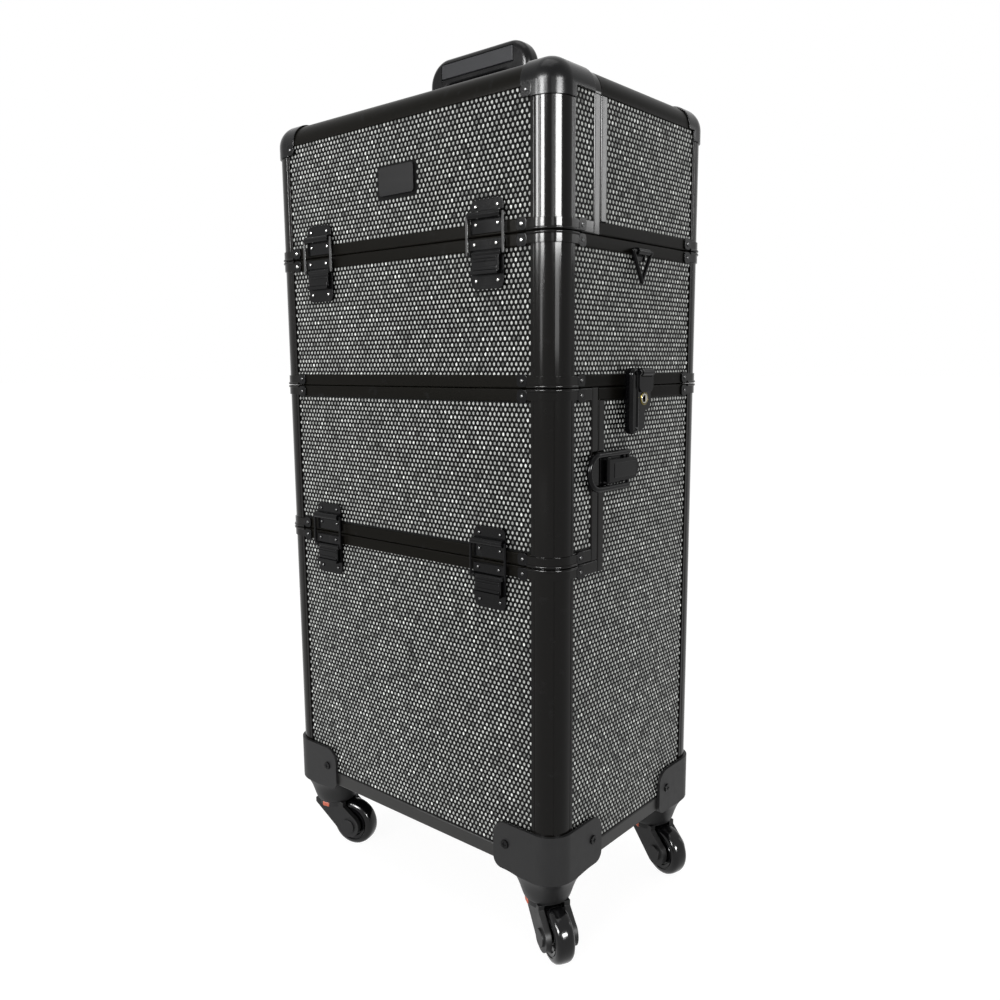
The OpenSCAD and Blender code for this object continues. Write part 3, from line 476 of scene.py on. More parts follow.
def round_edges(piece: Mesh, axis: int, width: float, segments: int, above: float = -math.inf) -> Mesh:
    """Rounds the edges of a block that run along one axis.

    Args:
        piece: The block.
        axis: 0, 1 or 2, for X, Y or Z.
        width: Width of the rounding.
        segments: Steps of the rounding.
        above: Edges that reach below this height are left.

    Returns:
        The block.
    """
    with editing(piece, "EDGE") as bm:
        pick(
            piece, bm.edges,
            lambda e: abs(e.verts[0].co[axis] - e.verts[1].co[axis]) > 0.5 * MM
            and min(v.co.z for v in e.verts) > above * MM,
        )
        bpy.ops.mesh.bevel(offset=width * MM, segments=segments)
    return piece


def rounded(piece: Mesh, width: float, segments: int = 2, angle: float = 35.0) -> Mesh:
    """Rounds every edge sharper than an angle."""
    only(piece)
    bevel = piece.modifiers.new("edges", "BEVEL")
    bevel.width = width * MM
    bevel.segments = segments
    bevel.limit_method = "ANGLE"
    bevel.angle_limit = math.radians(angle)
    bevel.miter_outer = "MITER_ARC"
    bpy.ops.object.modifier_apply(modifier=bevel.name)
    return piece


def less(piece: Mesh, cutter: Mesh) -> Mesh:
    """Cuts one piece out of another and removes the cutter."""
    only(piece)
    cut = piece.modifiers.new("cut", "BOOLEAN")
    cut.operation = "DIFFERENCE"
    cut.solver = "EXACT"
    cut.object = cutter
    bpy.ops.object.modifier_apply(modifier=cut.name)
    bpy.data.objects.remove(cutter)
    return piece


def joined(name: str, pieces: Sequence[Mesh]) -> Mesh:
    """Joins pieces into one."""
    bpy.ops.object.select_all(action="DESELECT")
    for piece in pieces:
        piece.select_set(True)
    bpy.context.view_layer.objects.active = pieces[0]
    bpy.ops.object.join()
    made = bpy.context.object
    made.name = name
    return made


def copied(piece: Mesh, name: str, matrix: Matrix) -> Mesh:
    """A copy of a piece with its own mesh, moved by a matrix."""
    made = moved(linked(name, piece.data.copy()), matrix)
    if matrix.determinant() < 0:
        mended(made)
    return made


def smoothed(piece: Mesh, angle: float = 35.0) -> Mesh:
    """Smooth shading up to an angle, with flat faces kept flat."""
    only(piece)
    bpy.ops.object.shade_smooth_by_angle(angle=math.radians(angle))
    weigh = piece.modifiers.new("flats", "WEIGHTED_NORMAL")
    weigh.keep_sharp = True
    bpy.ops.object.modifier_apply(modifier=weigh.name)
    return piece


def coat(piece: Mesh, finish: Surface) -> None:
    """Gives a piece one finish all over."""
    piece.data.materials.clear()
    piece.data.materials.append(finish.material())


def dressed(
    piece: Mesh, body: str, finish: Surface | None, stands_for: Sequence[str] = (), angle: float = 35.0
) -> Mesh:
    """Gives a finished piece its surface and body, and hides the nodes it stands for.

    Args:
        piece: The piece, in its place.
        body: The CAD body that it rides on.
        finish: The finish, or none where its parts have theirs.
        stands_for: CAD nodes that it replaces.
        angle: Edges up to this angle are shaded smooth.

    Returns:
        The piece.
    """
    smoothed(piece, angle)
    if finish:
        coat(piece, finish)
    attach(piece, body)
    if stands_for:
        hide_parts(*stands_for)
    LOG.info("%s: %d faces on %s", piece.name, len(piece.data.polygons), body)
    return piece


def skin(node: str, width: float, segments: int = 2, sort: Callable | None = None) -> Mesh:
    """A copy of a CAD node with its edges rounded, solid by solid.

    Args:
        node: The node's name.
        width: Width of the rounding.
        segments: Steps of the rounding.
        sort: Gives each solid's finish and width from its size, where they differ.

    Returns:
        The new piece, named after the node.
    """
    piece = linked("shaped_" + node, frame["nodes"][node].data.copy())
    only(piece)
    bpy.ops.mesh.customdata_custom_splitnormals_clear()
    with editing(piece, action="SELECT"):
        bpy.ops.mesh.remove_doubles(threshold=0.000004)
        bpy.ops.mesh.dissolve_limited(angle_limit=math.radians(0.6))
        bpy.ops.mesh.separate(type="LOOSE")
    parts = [o for o in bpy.context.selected_objects if o.type == "MESH"]
    for part in parts:
        finish, own_width = sort(Vector(part.dimensions) / MM) if sort else (None, width)
        if own_width > 0:
            rounded(part, own_width, segments)
        if finish:
            coat(part, finish)
    return joined("shaped_" + node, parts)


def reskin(
    node: str, body: str, finish: Surface | None, width: float, segments: int = 2,
    sort: Callable | None = None,
) -> Mesh:
    """Rounds a copy of a CAD node and lets it stand for the node."""
    return dressed(skin(node, width, segments, sort), body, finish, (node,))


def studded(name: str, body: str, finish: Surface, spots: Sequence[tuple[Point, Point]], height: float) -> Mesh:
    """Sets one domed rivet head at each place.

    Args:
        name: The piece's name.
        body: The body that carries it.
        finish: The heads' finish.
        spots: Each head's place and the way it points.
        height: The heads' height.

    Returns:
        All heads as one piece.
    """
    r = RIVET_R
    outline = [(0, -0.2), (r, -0.2), (r, height * 0.3), (r * 0.8, height * 0.75), (r * 0.4, height), (0, height)]
    head = spun("head", outline, 14)
    made = [copied(head, "head_copy", facing(place, out)) for place, out in spots]
    bpy.data.objects.remove(head)
    return dressed(joined(name, made), body, finish, angle=50)


# Covered panels


@dataclass(frozen=True)
class Side:
    """A face of the case: the way its studs point, and the axes that run along and up it."""

    name: str
    along: Point
    up: Point
    out: Point
    offset: float

    def matrix(self) -> Matrix:
        """The turn from a stud's own axes to the face."""
        return Matrix((self.along, self.up, self.out)).transposed()


FRONT = Side("front", (1, 0, 0), (0, 0, 1), (0, -1, 0), -(FRONT_Y + BOARD_IN))
BACK = Side("back", (-1, 0, 0), (0, 0, 1), (0, 1, 0), BACK_Y - BOARD_IN)
RIGHT = Side("right", (0, 1, 0), (0, 0, 1), (1, 0, 0), HALF_W - BOARD_IN)
LEFT = Side("left", (0, -1, 0), (0, 0, 1), (-1, 0, 0), HALF_W - BOARD_IN)
TOP = Side("top", (1, 0, 0), (0, 1, 0), (0, 0, 1), TOP_Z - BOARD_IN)


@dataclass
class GlitterPanels:
    """Boards covered in black sheet with close rows of small bright studs."""

    pitch: float = 4.85
    row: float = 4.2
    radius: float = 1.55
    crown: float = 0.85
    height: float = 0.6
    narrow: float = 0.84
    tall: float = 1.08
    spark: float = 0.04
    dim: float = 0.8
    dim_spread: tuple[float, float] = (3.6, 2.6)
    margin: float = -0.5
    bare_gap: float = 2.0
    tilt: float = 7.0
    lean: float = 0.6
    board: float = 5.0
    lining: float = 0.7
    lining_gap: float = 0.05
    sill: float = 14.0
    x_end: float = HALF_W - POST
    top_x: float = 158.0
    y_low: float = FRONT_Y + POST
    y_high: float = BACK_Y - POST
    plate: tuple = (-22.5, LID_Z + 47, 22.5, LID_Z + 72)
    foot: tuple = (-84, MID_Y - 15, 84, MID_Y + 15)
    bracket_x: float = 55.0
    bracket_half: float = 13.0
    bracket_h: float = 16.0
    bracket_z: tuple[float, float] = (100, 484.3)
    random_source: random.Random = field(default_factory=lambda: random.Random(11))
    sheets: dict[str, list] = field(default_factory=dict)

    def stud(self) -> tuple[np.ndarray, list[list[int]]]:
        """Models one stud.

        Returns:
            Its points in millimetres and its faces.
        """
        bpy.ops.object.select_all(action="DESELECT")
        bpy.ops.mesh.primitive_cylinder_add(
            vertices=6, radius=self.radius * MM, depth=self.height * MM, location=vec(0, 0, self.height / 2)
        )
        piece = apply_place(bpy.context.object)
        with editing(piece, "FACE") as bm:
            pick(piece, bm.faces, lambda f: f.normal.z > 0.9)
            ratio = self.crown / self.radius
            bpy.ops.transform.resize(value=(ratio, ratio, 1))
        with editing(piece, action="SELECT"):
            bpy.ops.transform.resize(value=(self.narrow, self.tall, 1))
        with editing(piece, "FACE") as bm:
            pick(piece, bm.faces, lambda f: f.normal.z < -0.9)
            bpy.ops.mesh.delete(type="FACE")
        points = np.array([v.co for v in piece.data.vertices]) / MM
        faces = [list(f.vertices) for f in piece.data.polygons]
        bpy.data.objects.remove(piece)
        return points, faces

    def places(
        self, low: tuple[float, float], high: tuple[float, float], bare: Sequence[tuple]
    ) -> list[tuple[float, float]]:
        """Places of the studs on one panel, on the lattice that its whole face shares.

        Args:
            low: Lowest corner of the panel, along and up its face.
            high: Highest corner.
            bare: Rectangles that are left without studs.

        Returns:
            The places, along and up the face.
        """
        found, gap = [], self.bare_gap
        lowest = math.ceil((low[1] + self.margin) / self.row)
        highest = math.floor((high[1] - self.margin) / self.row)
        for k in range(lowest, highest + 1):
            shift = self.pitch / 2 if k % 2 else 0.0
            first = math.ceil((low[0] + self.margin - shift) / self.pitch)
            last = math.floor((high[0] - self.margin - shift) / self.pitch)
            for i in range(first, last + 1):
                x, z = i * self.pitch + shift, k * self.row
                if not any(a - gap < x < c + gap and b - gap < z < d + gap for a, b, c, d in bare):
                    found.append((x, z))
        return found

    def sow(self, body: str, side: Side, areas: Sequence[tuple], bare: Sequence[tuple] = ()) -> None:
        """Sets copies of the stud on the panels of one face.

        Args:
            body: The body that carries them.
            side: The face.
            areas: Rectangles with studs: low along, low up, high along, high up.
            bare: Rectangles without.
        """
        name = f"{body}_studs_{side.name}"
        self.sheets.setdefault(body, []).extend((side, area) for area in areas)
        points, faces = self.stud()
        spots = [p for a in areas for p in self.places(a[:2], a[2:], bare)]
        count = len(points)
        vertices, glints, loops = [], [], []
        draw = self.random_source
        for index, (x, z) in enumerate(spots):
            lean_x = math.radians(draw.gauss(0, self.tilt))
            lean_z = math.radians(draw.gauss(0, self.tilt))
            slope = points[:, 0] * lean_x + points[:, 1] * lean_z
            lift = points[:, 2] + points[:, 2] / self.height * slope * self.lean
            vertices.append(np.column_stack((points[:, 0] + x, points[:, 1] + z, lift + side.offset)))
            # A few studs are set to full brightness as painted glints; the others get a random tone.
            shine = 1.0 if draw.random() < self.spark else self.dim * draw.betavariate(*self.dim_spread)
            glints.append(np.full(count, shine))
            loops.extend([[v + index * count for v in f] for f in faces])
        turned = np.concatenate(vertices) @ np.array(side.matrix()).T * MM
        mesh = bpy.data.meshes.new(name)
        mesh.from_pydata(turned.tolist(), [], loops)
        glint = mesh.attributes.new("glint", "FLOAT", "POINT")
        glint.data.foreach_set("value", np.concatenate(glints).astype(np.float32))
        piece = linked(name, mesh)
        coat(piece, STUDS)
        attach(piece, body)
        LOG.info("%s: %d studs on %s", name, len(spots), body)

    def build(self) -> None:
        """Covers every face of every section."""
        x, y0, y1 = self.x_end, self.y_low, self.y_high
        base = (BASE_Z + self.sill, COVER_Z - SEAM_RAIL)
        cover = (COVER_Z + SEAM_RAIL, TUB_Z - SEAM_RAIL)
        tub = (TUB_Z + SEAM_RAIL, LID_Z - SEAM_RAIL)
        lid = (LID_Z + SEAM_RAIL, TOP_Z - TOP_LEG)
        bar_front, bar_back = SPLIT_Y - EDGE_BAR, SPLIT_Y + EDGE_BAR
        for body, (low, high) in {"base": base, "cover": cover, "tub": tub, "flap": lid}.items():
            self.sow(body, FRONT, [(-x, low, x, high)], [self.plate] if body == "flap" else ())
        middle, half = self.bracket_x, self.bracket_half
        brackets = [
            (s * middle - half, z, s * middle + half, z + self.bracket_h) for s in (-1, 1) for z in self.bracket_z
        ]
        for body, (low, high) in {"base": (base[0], cover[1]), "tub": tub, "lid": lid}.items():
            self.sow(body, BACK, [(-x, low, x, high)], brackets if body == "base" else ())
        ends = {
            "base": [(y0, base[0], bar_back, base[1]), (bar_back + 0.1, base[0], y1, cover[1])],
            "cover": [(y0, cover[0], bar_front, cover[1])],
            "tub": [(y0, tub[0], y1, tub[1])],
            "lid": [(bar_back, lid[0], y1, lid[1])],
            "flap": [(y0, lid[0], bar_front, lid[1])],
        }
        for side, flip in ((RIGHT, 1), (LEFT, -1)):
            for body, areas in ends.items():
                turned = [(min(a * flip, b * flip), z0, max(a * flip, b * flip), z1) for a, z0, b, z1 in areas]
                self.sow(body, side, turned)
        self.sow("lid", TOP, [(-self.top_x, bar_back, self.top_x, BACK_Y - TOP_LEG)], [self.foot])
        self.sow("flap", TOP, [(-self.top_x, FRONT_Y + TOP_LEG, self.top_x, bar_front)])
        for body, sheets in self.sheets.items():
            coat(frame["nodes"][body + "_panels"], BOARD)
            self.line(body, sheets)

    def line(self, body: str, sheets: Sequence[tuple]) -> None:
        """Lines the inner faces of one section's boards with cloth."""
        made = []
        for side, (x0, z0, x1, z1) in sheets:
            depth = side.offset - self.board - self.lining
            sheet = slab("sheet", (x0, z0, depth), (x1, z1, depth + self.lining - self.lining_gap))
            made.append(moved(rounded(sheet, 0.2, 1), side.matrix().to_4x4()))
        dressed(joined("lining_" + body, made), body, CLOTH)


# Frame


@dataclass
class CaseFrame:
    """Posts, rails, bands and corner caps with softened edges, and their rivets and tabs."""

    edge: float = 0.35
    band_edge: float = 0.3
    rail_edge: float = 0.5
    bar_edge: float = 2.6
    long: float = 60.0
    post_side: float = 20.0
    rivet_z: float = 6.3
    reach: float = 34.0
    tab: float = 10.5
    tab_t: float = 1.5
    tab_sunk: float = 1.1
    tab_corner: float = 3.2
    bright_head: float = 1.1
    cap_foot: float = TOP_Z - 31.0
    cap_tab_drop: float = 3.4
    cap_tab_in: float = 3.6
    corner: float = 20.0
    lip: float = 1.3
    lip_out: float = 1.0
    lip_leg: float = 28.5
    lip_z: float = 1.55
    lip_steps: int = 12
    sill_low: float = 12.5
    sill_high: float = 16.0
    sill_edge: float = 1.6

    def build(self) -> None:
        """Builds the frame of each section."""
        reskin("base_posts", "base", ANODISED, self.edge)
        reskin("base_rails", "base", None, self.edge, 3, self.base_member)
        reskin("base_bands", "base", ANODISED, self.band_edge)
        for body in ("cover", "tub", "lid", "flap"):
            reskin(body + "_frame", body, None, self.edge, 3, self.member)
        for body in ("lid", "flap"):
            name = body + "_corner_caps"
            dressed(clipped(skin(name, 0.5, 3), self.cap_foot), body, CAP, (name,))
        self.rivets()
        self.cap_tabs()
        self.beads()

    def beads(self) -> None:
        """Lays the raised lip of every corner band on both sides of each seam."""
        rows = {
            "base": [(COVER_Z, -1, -1), (TUB_Z, -1, 1)],
            "cover": [(COVER_Z, 1, -1), (TUB_Z, -1, -1)],
            "tub": [(TUB_Z, 1, -1), (TUB_Z, 1, 1), (LID_Z, -1, -1), (LID_Z, -1, 1)],
            "lid": [(LID_Z, 1, 1)],
            "flap": [(LID_Z, 1, -1)],
        }
        for body, seams in rows.items():
            made = [self.bead(z + up * self.lip_z, sx, sy) for z, up, sy in seams for sx in (-1, 1)]
            dressed(joined("band_beads_" + body, made), body, ANODISED, angle=50)

    def bead(self, height: float, sx: int, sy: int) -> Mesh:
        """Bends one lip round a corner, as a wire with closed ends.

        Args:
            height: Its height.
            sx: The side of the case, left or right.
            sy: Front or back.

        Returns:
            The lip.
        """
        face = FRONT_Y if sy < 0 else BACK_Y
        out, leg, turn = self.lip_out, self.lip_leg, self.corner
        corner = (HALF_W - turn, abs(face) - turn if sy < 0 else face - turn)
        points = [(HALF_W - leg, corner[1] + turn + out)]
        for step in range(self.lip_steps + 1):
            angle = math.radians(90 - 90 / self.lip_steps * step)
            points.append((corner[0] + (turn + out) * math.cos(angle), corner[1] + (turn + out) * math.sin(angle)))
        points.append((HALF_W + out, corner[1] + turn - leg))
        curve = bpy.data.curves.new("lip", "CURVE")
        curve.dimensions = "3D"
        curve.bevel_depth = self.lip * MM
        curve.bevel_resolution = 3
        curve.use_fill_caps = True
        line = curve.splines.new("POLY")
        line.points.add(len(points) - 1)
        for point, (x, y) in zip(line.points, points):
            point.co = (*vec(sx * x, sy * y, height), 1)
        only(linked("lip", curve))
        bpy.ops.object.convert(target="MESH")
        return mended(bpy.context.object)

    def member(self, size: Vector) -> tuple[Finish, float]:
        """Tells a bright upright from a dull rail by its size.

        Args:
            size: The solid's length, depth and height.

        Returns:
            Its finish and how much its edges are rounded.
        """
        if size.z > self.long:
            return ANODISED, self.edge if min(size.x, size.y) > self.post_side else self.bar_edge
        return (RAILS, self.rail_edge) if max(size.x, size.y) > self.long else (ANODISED, self.band_edge)

    def base_member(self, size: Vector) -> tuple[Finish, float]:
        """Sets the taller rails at the floor apart: they are greyer and rounder.

        Args:
            size: The solid's length, depth and height.

        Returns:
            Its finish and how much its edges are rounded.
        """
        if self.sill_low < size.z < self.sill_high:
            return SILL, self.sill_edge
        return self.member(size)

    def rivets(self) -> None:
        """Sets a rivet on a small tab at every band end: steel ones at the lid's front, and elsewhere darker copies
        of the same steel, as painted shade.
        """
        rows = {
            "base": [(COVER_Z, -1, True), (TUB_Z, -1, False)],
            "cover": [(COVER_Z, 1, True), (TUB_Z, -1, True)],
            "tub": [(TUB_Z, 1, None), (LID_Z, -1, None)],
            "lid": [(LID_Z, 1, False)],
            "flap": [(LID_Z, 1, True)],
        }
        for body, seams in rows.items():
            bright, faces, sides, tabs = [], [], [], []
            for z, up, front in seams:
                height = z + up * self.rivet_z
                for sx in (-1, 1):
                    for is_front in ((True, False) if front is None else (front,)):
                        out = -1 if is_front else 1
                        face = FRONT_Y if is_front else BACK_Y
                        x, y = sx * (HALF_W - self.reach), face - out * self.reach
                        row = bright if z == LID_Z and is_front else faces
                        row.append(((x, face + out * self.tab_t, height), (0, out, 0)))
                        sides.append(((sx * (HALF_W + self.tab_t), y, height), (sx, 0, 0)))
                        tabs.append(self.plate((x, face, height), (0, out, 0)))
                        tabs.append(self.plate((sx * HALF_W, y, height), (sx, 0, 0)))
            if bright:
                studded("band_rivets_" + body, body, SILVER, bright, self.bright_head)
            # The side and remaining face rivets take the darkened steel: painted shade.
            studded("side_rivets_" + body, body, SHADED_RIVET_STEEL, sides + faces, SHADED_RIVET_HEAD)
            dressed(joined("band_tabs_" + body, tabs), body, ENAMEL)

    def plate(self, place: Point, out: Point) -> Mesh:
        """A tab with rounded corners that lies on a face, round a rivet's place."""
        half = self.tab / 2
        piece = slab("tab", (-half, -half, -self.tab_sunk), (half, half, self.tab_t))
        rounded(round_edges(piece, 2, self.tab_corner, 4), self.edge, 2, 60)
        return moved(piece, facing(place, out))

    def cap_tabs(self) -> None:
        """Sets the small riveted tab beside each corner cap, below the top rail."""
        height = TOP_Z - TOP_LEG - self.cap_tab_drop
        for body, face, out in (("flap", FRONT_Y, -1), ("lid", BACK_Y, 1)):
            tabs, heads = [], []
            for sx in (-1, 1):
                x = sx * (HALF_W - POST - self.cap_tab_in)
                tabs.append(self.plate((x, face, height), (0, out, 0)))
                heads.append(((x, face + out * self.tab_t, height), (0, out, 0)))
            dressed(joined("cap_tabs_" + body, tabs), body, ENAMEL)
            # The cap rivets take the darkened steel: painted shade.
            studded("cap_rivets_" + body, body, SHADED_RIVET_STEEL, heads, SHADED_RIVET_HEAD)


# Latches, key locks, side levers and strap rings


@dataclass
class Fastenings:
    """Front latches, side levers, key locks and strap rings, with their rivets and ribs."""

    rivet_x: float = 12.0
    rivets_up: tuple[float, float] = (24.2, 9.8)
    ledge_drop: float = 6.5
    foot_drop: float = 36.0
    head: float = 1.2
    plate_t: float = 1.5
    ledge_out: float = 3.5
    lever_out: float = 4.6
    rib_half: float = 13.5
    ribs: tuple = ((17.8, 0.6), (20.2, 0.6), (26.4, 1.5))
    key_place: Point = (HALF_W + 10.5, MID_Y - 3, 502.3)
    key_ring: tuple = ((4.65, -0.3), (6.0, -0.3), (6.0, 0.3), (5.6, 0.75), (5.0, 0.75), (4.65, 0.3), (4.65, -0.3))
    loop_more: float = 0.75
    shell_low: Point = (183.6, MID_Y - 25.6, 471.0)
    shell_high: Point = (192.0, MID_Y - 12.0, 529.5)
    shell_corner: float = 6.4
    shell_rim: float = 0.9
    shell_sunk: float = 1.2
    panel_in: tuple[float, float, float] = (9.0, 6.0, 5.5)

    def build(self) -> None:
        """Builds all fastenings of the case."""
        for node, body in (
            ("flap_strikes", "flap"), ("cover_strikes", "cover"), ("lower_latch_plates", "base"),
            ("side_latch_plates", "base"), ("tub_hardware", "tub"),
        ):
            reskin(node, body, ENAMEL, 0.45)
        reskin("key_locks", "base", ENAMEL, 1.3, 3)
        # The lower latches take darker copies of the upper ones' hardware, darkened rivet steel and black bails, as
        # painted shade.
        for level, z, low, high, finish, wire in (
            ("upper", LID_Z, "tub", "flap", SILVER, WIRE), ("lower", COVER_Z, "base", "cover", SHADED_RIVET_STEEL, GLOSS),
        ):
            self.latch_rivets(level, z, low, high, finish)
            for side, sx in SIDES:
                self.lever(f"{level}_lever_{side}", sx, z)
                bail = f"{level}_bail_{side}"
                reskin(bail, bail, wire, 0)
        for side, sx in SIDES:
            self.on_side("side_lever_" + side, GLOSS, Slot.BLACK_METAL, 2.2, 4)
            self.thick_loop("side_loop_" + side)
            self.hasp_cover("hasp_" + side, sx)
            self.on_side("strap_ring_" + side, GLOSS, Slot.WIRE, 0, 2)
            self.on_side("hasp_" + side, GLOSS, Slot.BLACK_METAL, 0.7, 3)
            self.on_side("key_cylinder_" + side, NICKEL, Slot.BRASS, 0.5, 3)
            self.ring(side, sx)
            self.lever_panel(side, sx)

    @staticmethod
    def on_side(name: str, finish: Surface, slot: Slot, width: float, segments: int) -> None:
        """Rounds a node whose body has its own name."""
        reskin(name, name, finish, width, segments)

    def latch_rivets(self, level: str, z: float, low: str, high: str, finish: Surface) -> None:
        """Sets the four rivets above and the four below the seam of both latches of one level.

        Args:
            level: Upper or lower.
            z: The seam's height.
            low: The body below the seam.
            high: The body above it.
            finish: The heads' finish.
        """
        above, below = [], []
        for sx in (-1, 1):
            for dx in (-self.rivet_x, self.rivet_x):
                x = sx * LATCH_X + dx
                for up in self.rivets_up:
                    above.append(((x, FRONT_Y - self.plate_t, z + up), (0, -1, 0)))
                below.append(((x, FRONT_Y - self.ledge_out, z - self.ledge_drop), (0, -1, 0)))
                below.append(((x, FRONT_Y - self.plate_t, z - self.foot_drop), (0, -1, 0)))
        studded(level + "_rivets_above", high, finish, above, self.head)
        studded(level + "_rivets_below", low, finish, below, self.head)

    def lever(self, name: str, sx: int, z: float) -> None:
        """Rounds a lever and gives it two narrow ribs with a wider one below."""
        reskin(name, name, ENAMEL, 0.4)
        x, y, made = sx * LATCH_X, FRONT_Y - self.lever_out, []
        for drop, half in self.ribs:
            low = (x - self.rib_half, y - 0.75, z - drop - half)
            high = (x + self.rib_half, y + 0.4, z - drop + half)
            made.append(rounded(slab("rib", low, high), 0.5, 3))
        dressed(joined("ribs_" + name, made), name, ENAMEL)

    def thick_loop(self, name: str) -> None:
        """Fills out a side loop's wire to its real thickness."""
        loop = skin(name, 0)
        with editing(loop, action="SELECT"):
            bpy.ops.transform.shrink_fatten(value=self.loop_more * MM)
        dressed(loop, name, GLOSS, (name,), 50)

    def hasp_cover(self, body: str, sx: int) -> None:
        """Shapes the long rounded shell that hangs beside a key lock, with a sunk face and a glossy rim."""
        x0, x1 = sorted((sx * self.shell_low[0], sx * self.shell_high[0]))
        piece = slab("hasp_cover", (x0, *self.shell_low[1:]), (x1, *self.shell_high[1:]))
        rounded(round_edges(piece, 0, self.shell_corner, 8), 3.0, 5, 60)
        with editing(piece, "FACE") as bm:
            pick(piece, bm.faces, lambda f: f.normal.x * sx > 0.99 and f.calc_area() > 0.00005)
            bpy.ops.mesh.inset(thickness=self.shell_rim * MM, depth=0)
            bpy.ops.transform.translate(value=vec(-sx * self.shell_sunk, 0, 0))
        dressed(rounded(piece, 0.35, 2, 40), body, GLOSS, angle=50)

    def ring(self, side: str, sx: int) -> None:
        """Turns the raised ring round a key's cylinder."""
        x, y, z = self.key_place
        ring = moved(spun("key_ring_" + side, self.key_ring, 32), facing((sx * x, y, z), (sx, 0, 0)))
        dressed(ring, "base", OLD_BRASS, angle=50)

    def lever_panel(self, side: str, sx: int) -> None:
        """A low rounded panel pressed into the middle of a side lever."""
        low, high = box("side_lever_" + side)
        front, back, level = self.panel_in
        out = high.x if sx > 0 else low.x
        x0, x1 = sorted((out - sx * 0.4, out + sx * 0.5))
        panel = slab("lever_panel_" + side, (x0, low.y + front, low.z + level), (x1, high.y - back, high.z - level))
        dressed(rounded(panel, 0.7, 3), "side_lever_" + side, ENAMEL)


# Carry handle


@dataclass
class CarryHandle:
    """The handle on the lid: a round-shouldered grip with a soft pad let into its front, on a long foot."""

    half: float = 64.5
    thick: float = 20.0
    top: float = 835.0
    base: float = TOP_Z - BOARD_IN
    shoulder: float = 24.0
    leg: float = 22.0
    bar: float = 29.0
    gap_corner: float = 10.0
    gap_past: float = 9.0
    foot_half: float = 76.5
    foot_t: float = 4.0
    softness: float = 6.8
    pad_lift: float = 3.0
    rim: float = 0.6

    def build(self) -> None:
        """Builds the handle and its pad."""
        y0, y1 = MID_Y - self.thick / 2, MID_Y + self.thick / 2
        grip = slab("handle_grip", (-self.half, y0, self.base - self.foot_t), (self.half, y1, self.top))
        round_edges(grip, 1, self.shoulder, 12, self.top - 0.5)
        side, level = self.half - self.leg, self.top - self.bar
        gap = slab("handle_gap", (-side, y0 - 5, self.base - self.gap_past), (side, y1 + 5, level))
        less(grip, round_edges(gap, 1, self.gap_corner, 12, level - 0.5))
        rounded(grip, self.softness, 6, 50)
        low, high = box("handle_pad")
        x0, x1, z0, floor = low.x - self.rim, high.x + self.rim, low.z - self.rim, low.z + self.pad_lift
        well = slab("pad_well", (x0, low.y - 3, z0), (x1, high.y + 0.05, high.z + self.rim))
        less(grip, rounded(well, 1.2, 3))
        foot = slab("handle_foot", (-self.foot_half, y0, self.base), (self.foot_half, y1, self.base + self.foot_t))
        rounded(foot, 1.6, 3)
        dressed(joined("handle_body", [grip, foot]), "lid", HANDLE, ("carry_handle",), 40)
        rim = slab("pad_rim", (x0, low.y + 1.2, z0), (x1, high.y - 0.1, floor))
        dressed(rounded(rim, 0.5), "lid", HANDLE)
        soft = slab("soft_pad", (low.x, low.y, floor), tuple(high))
        dressed(rounded(soft, 1.4, 4), "lid", PAD, ("handle_pad",), 40)


# Bottom corners and casters


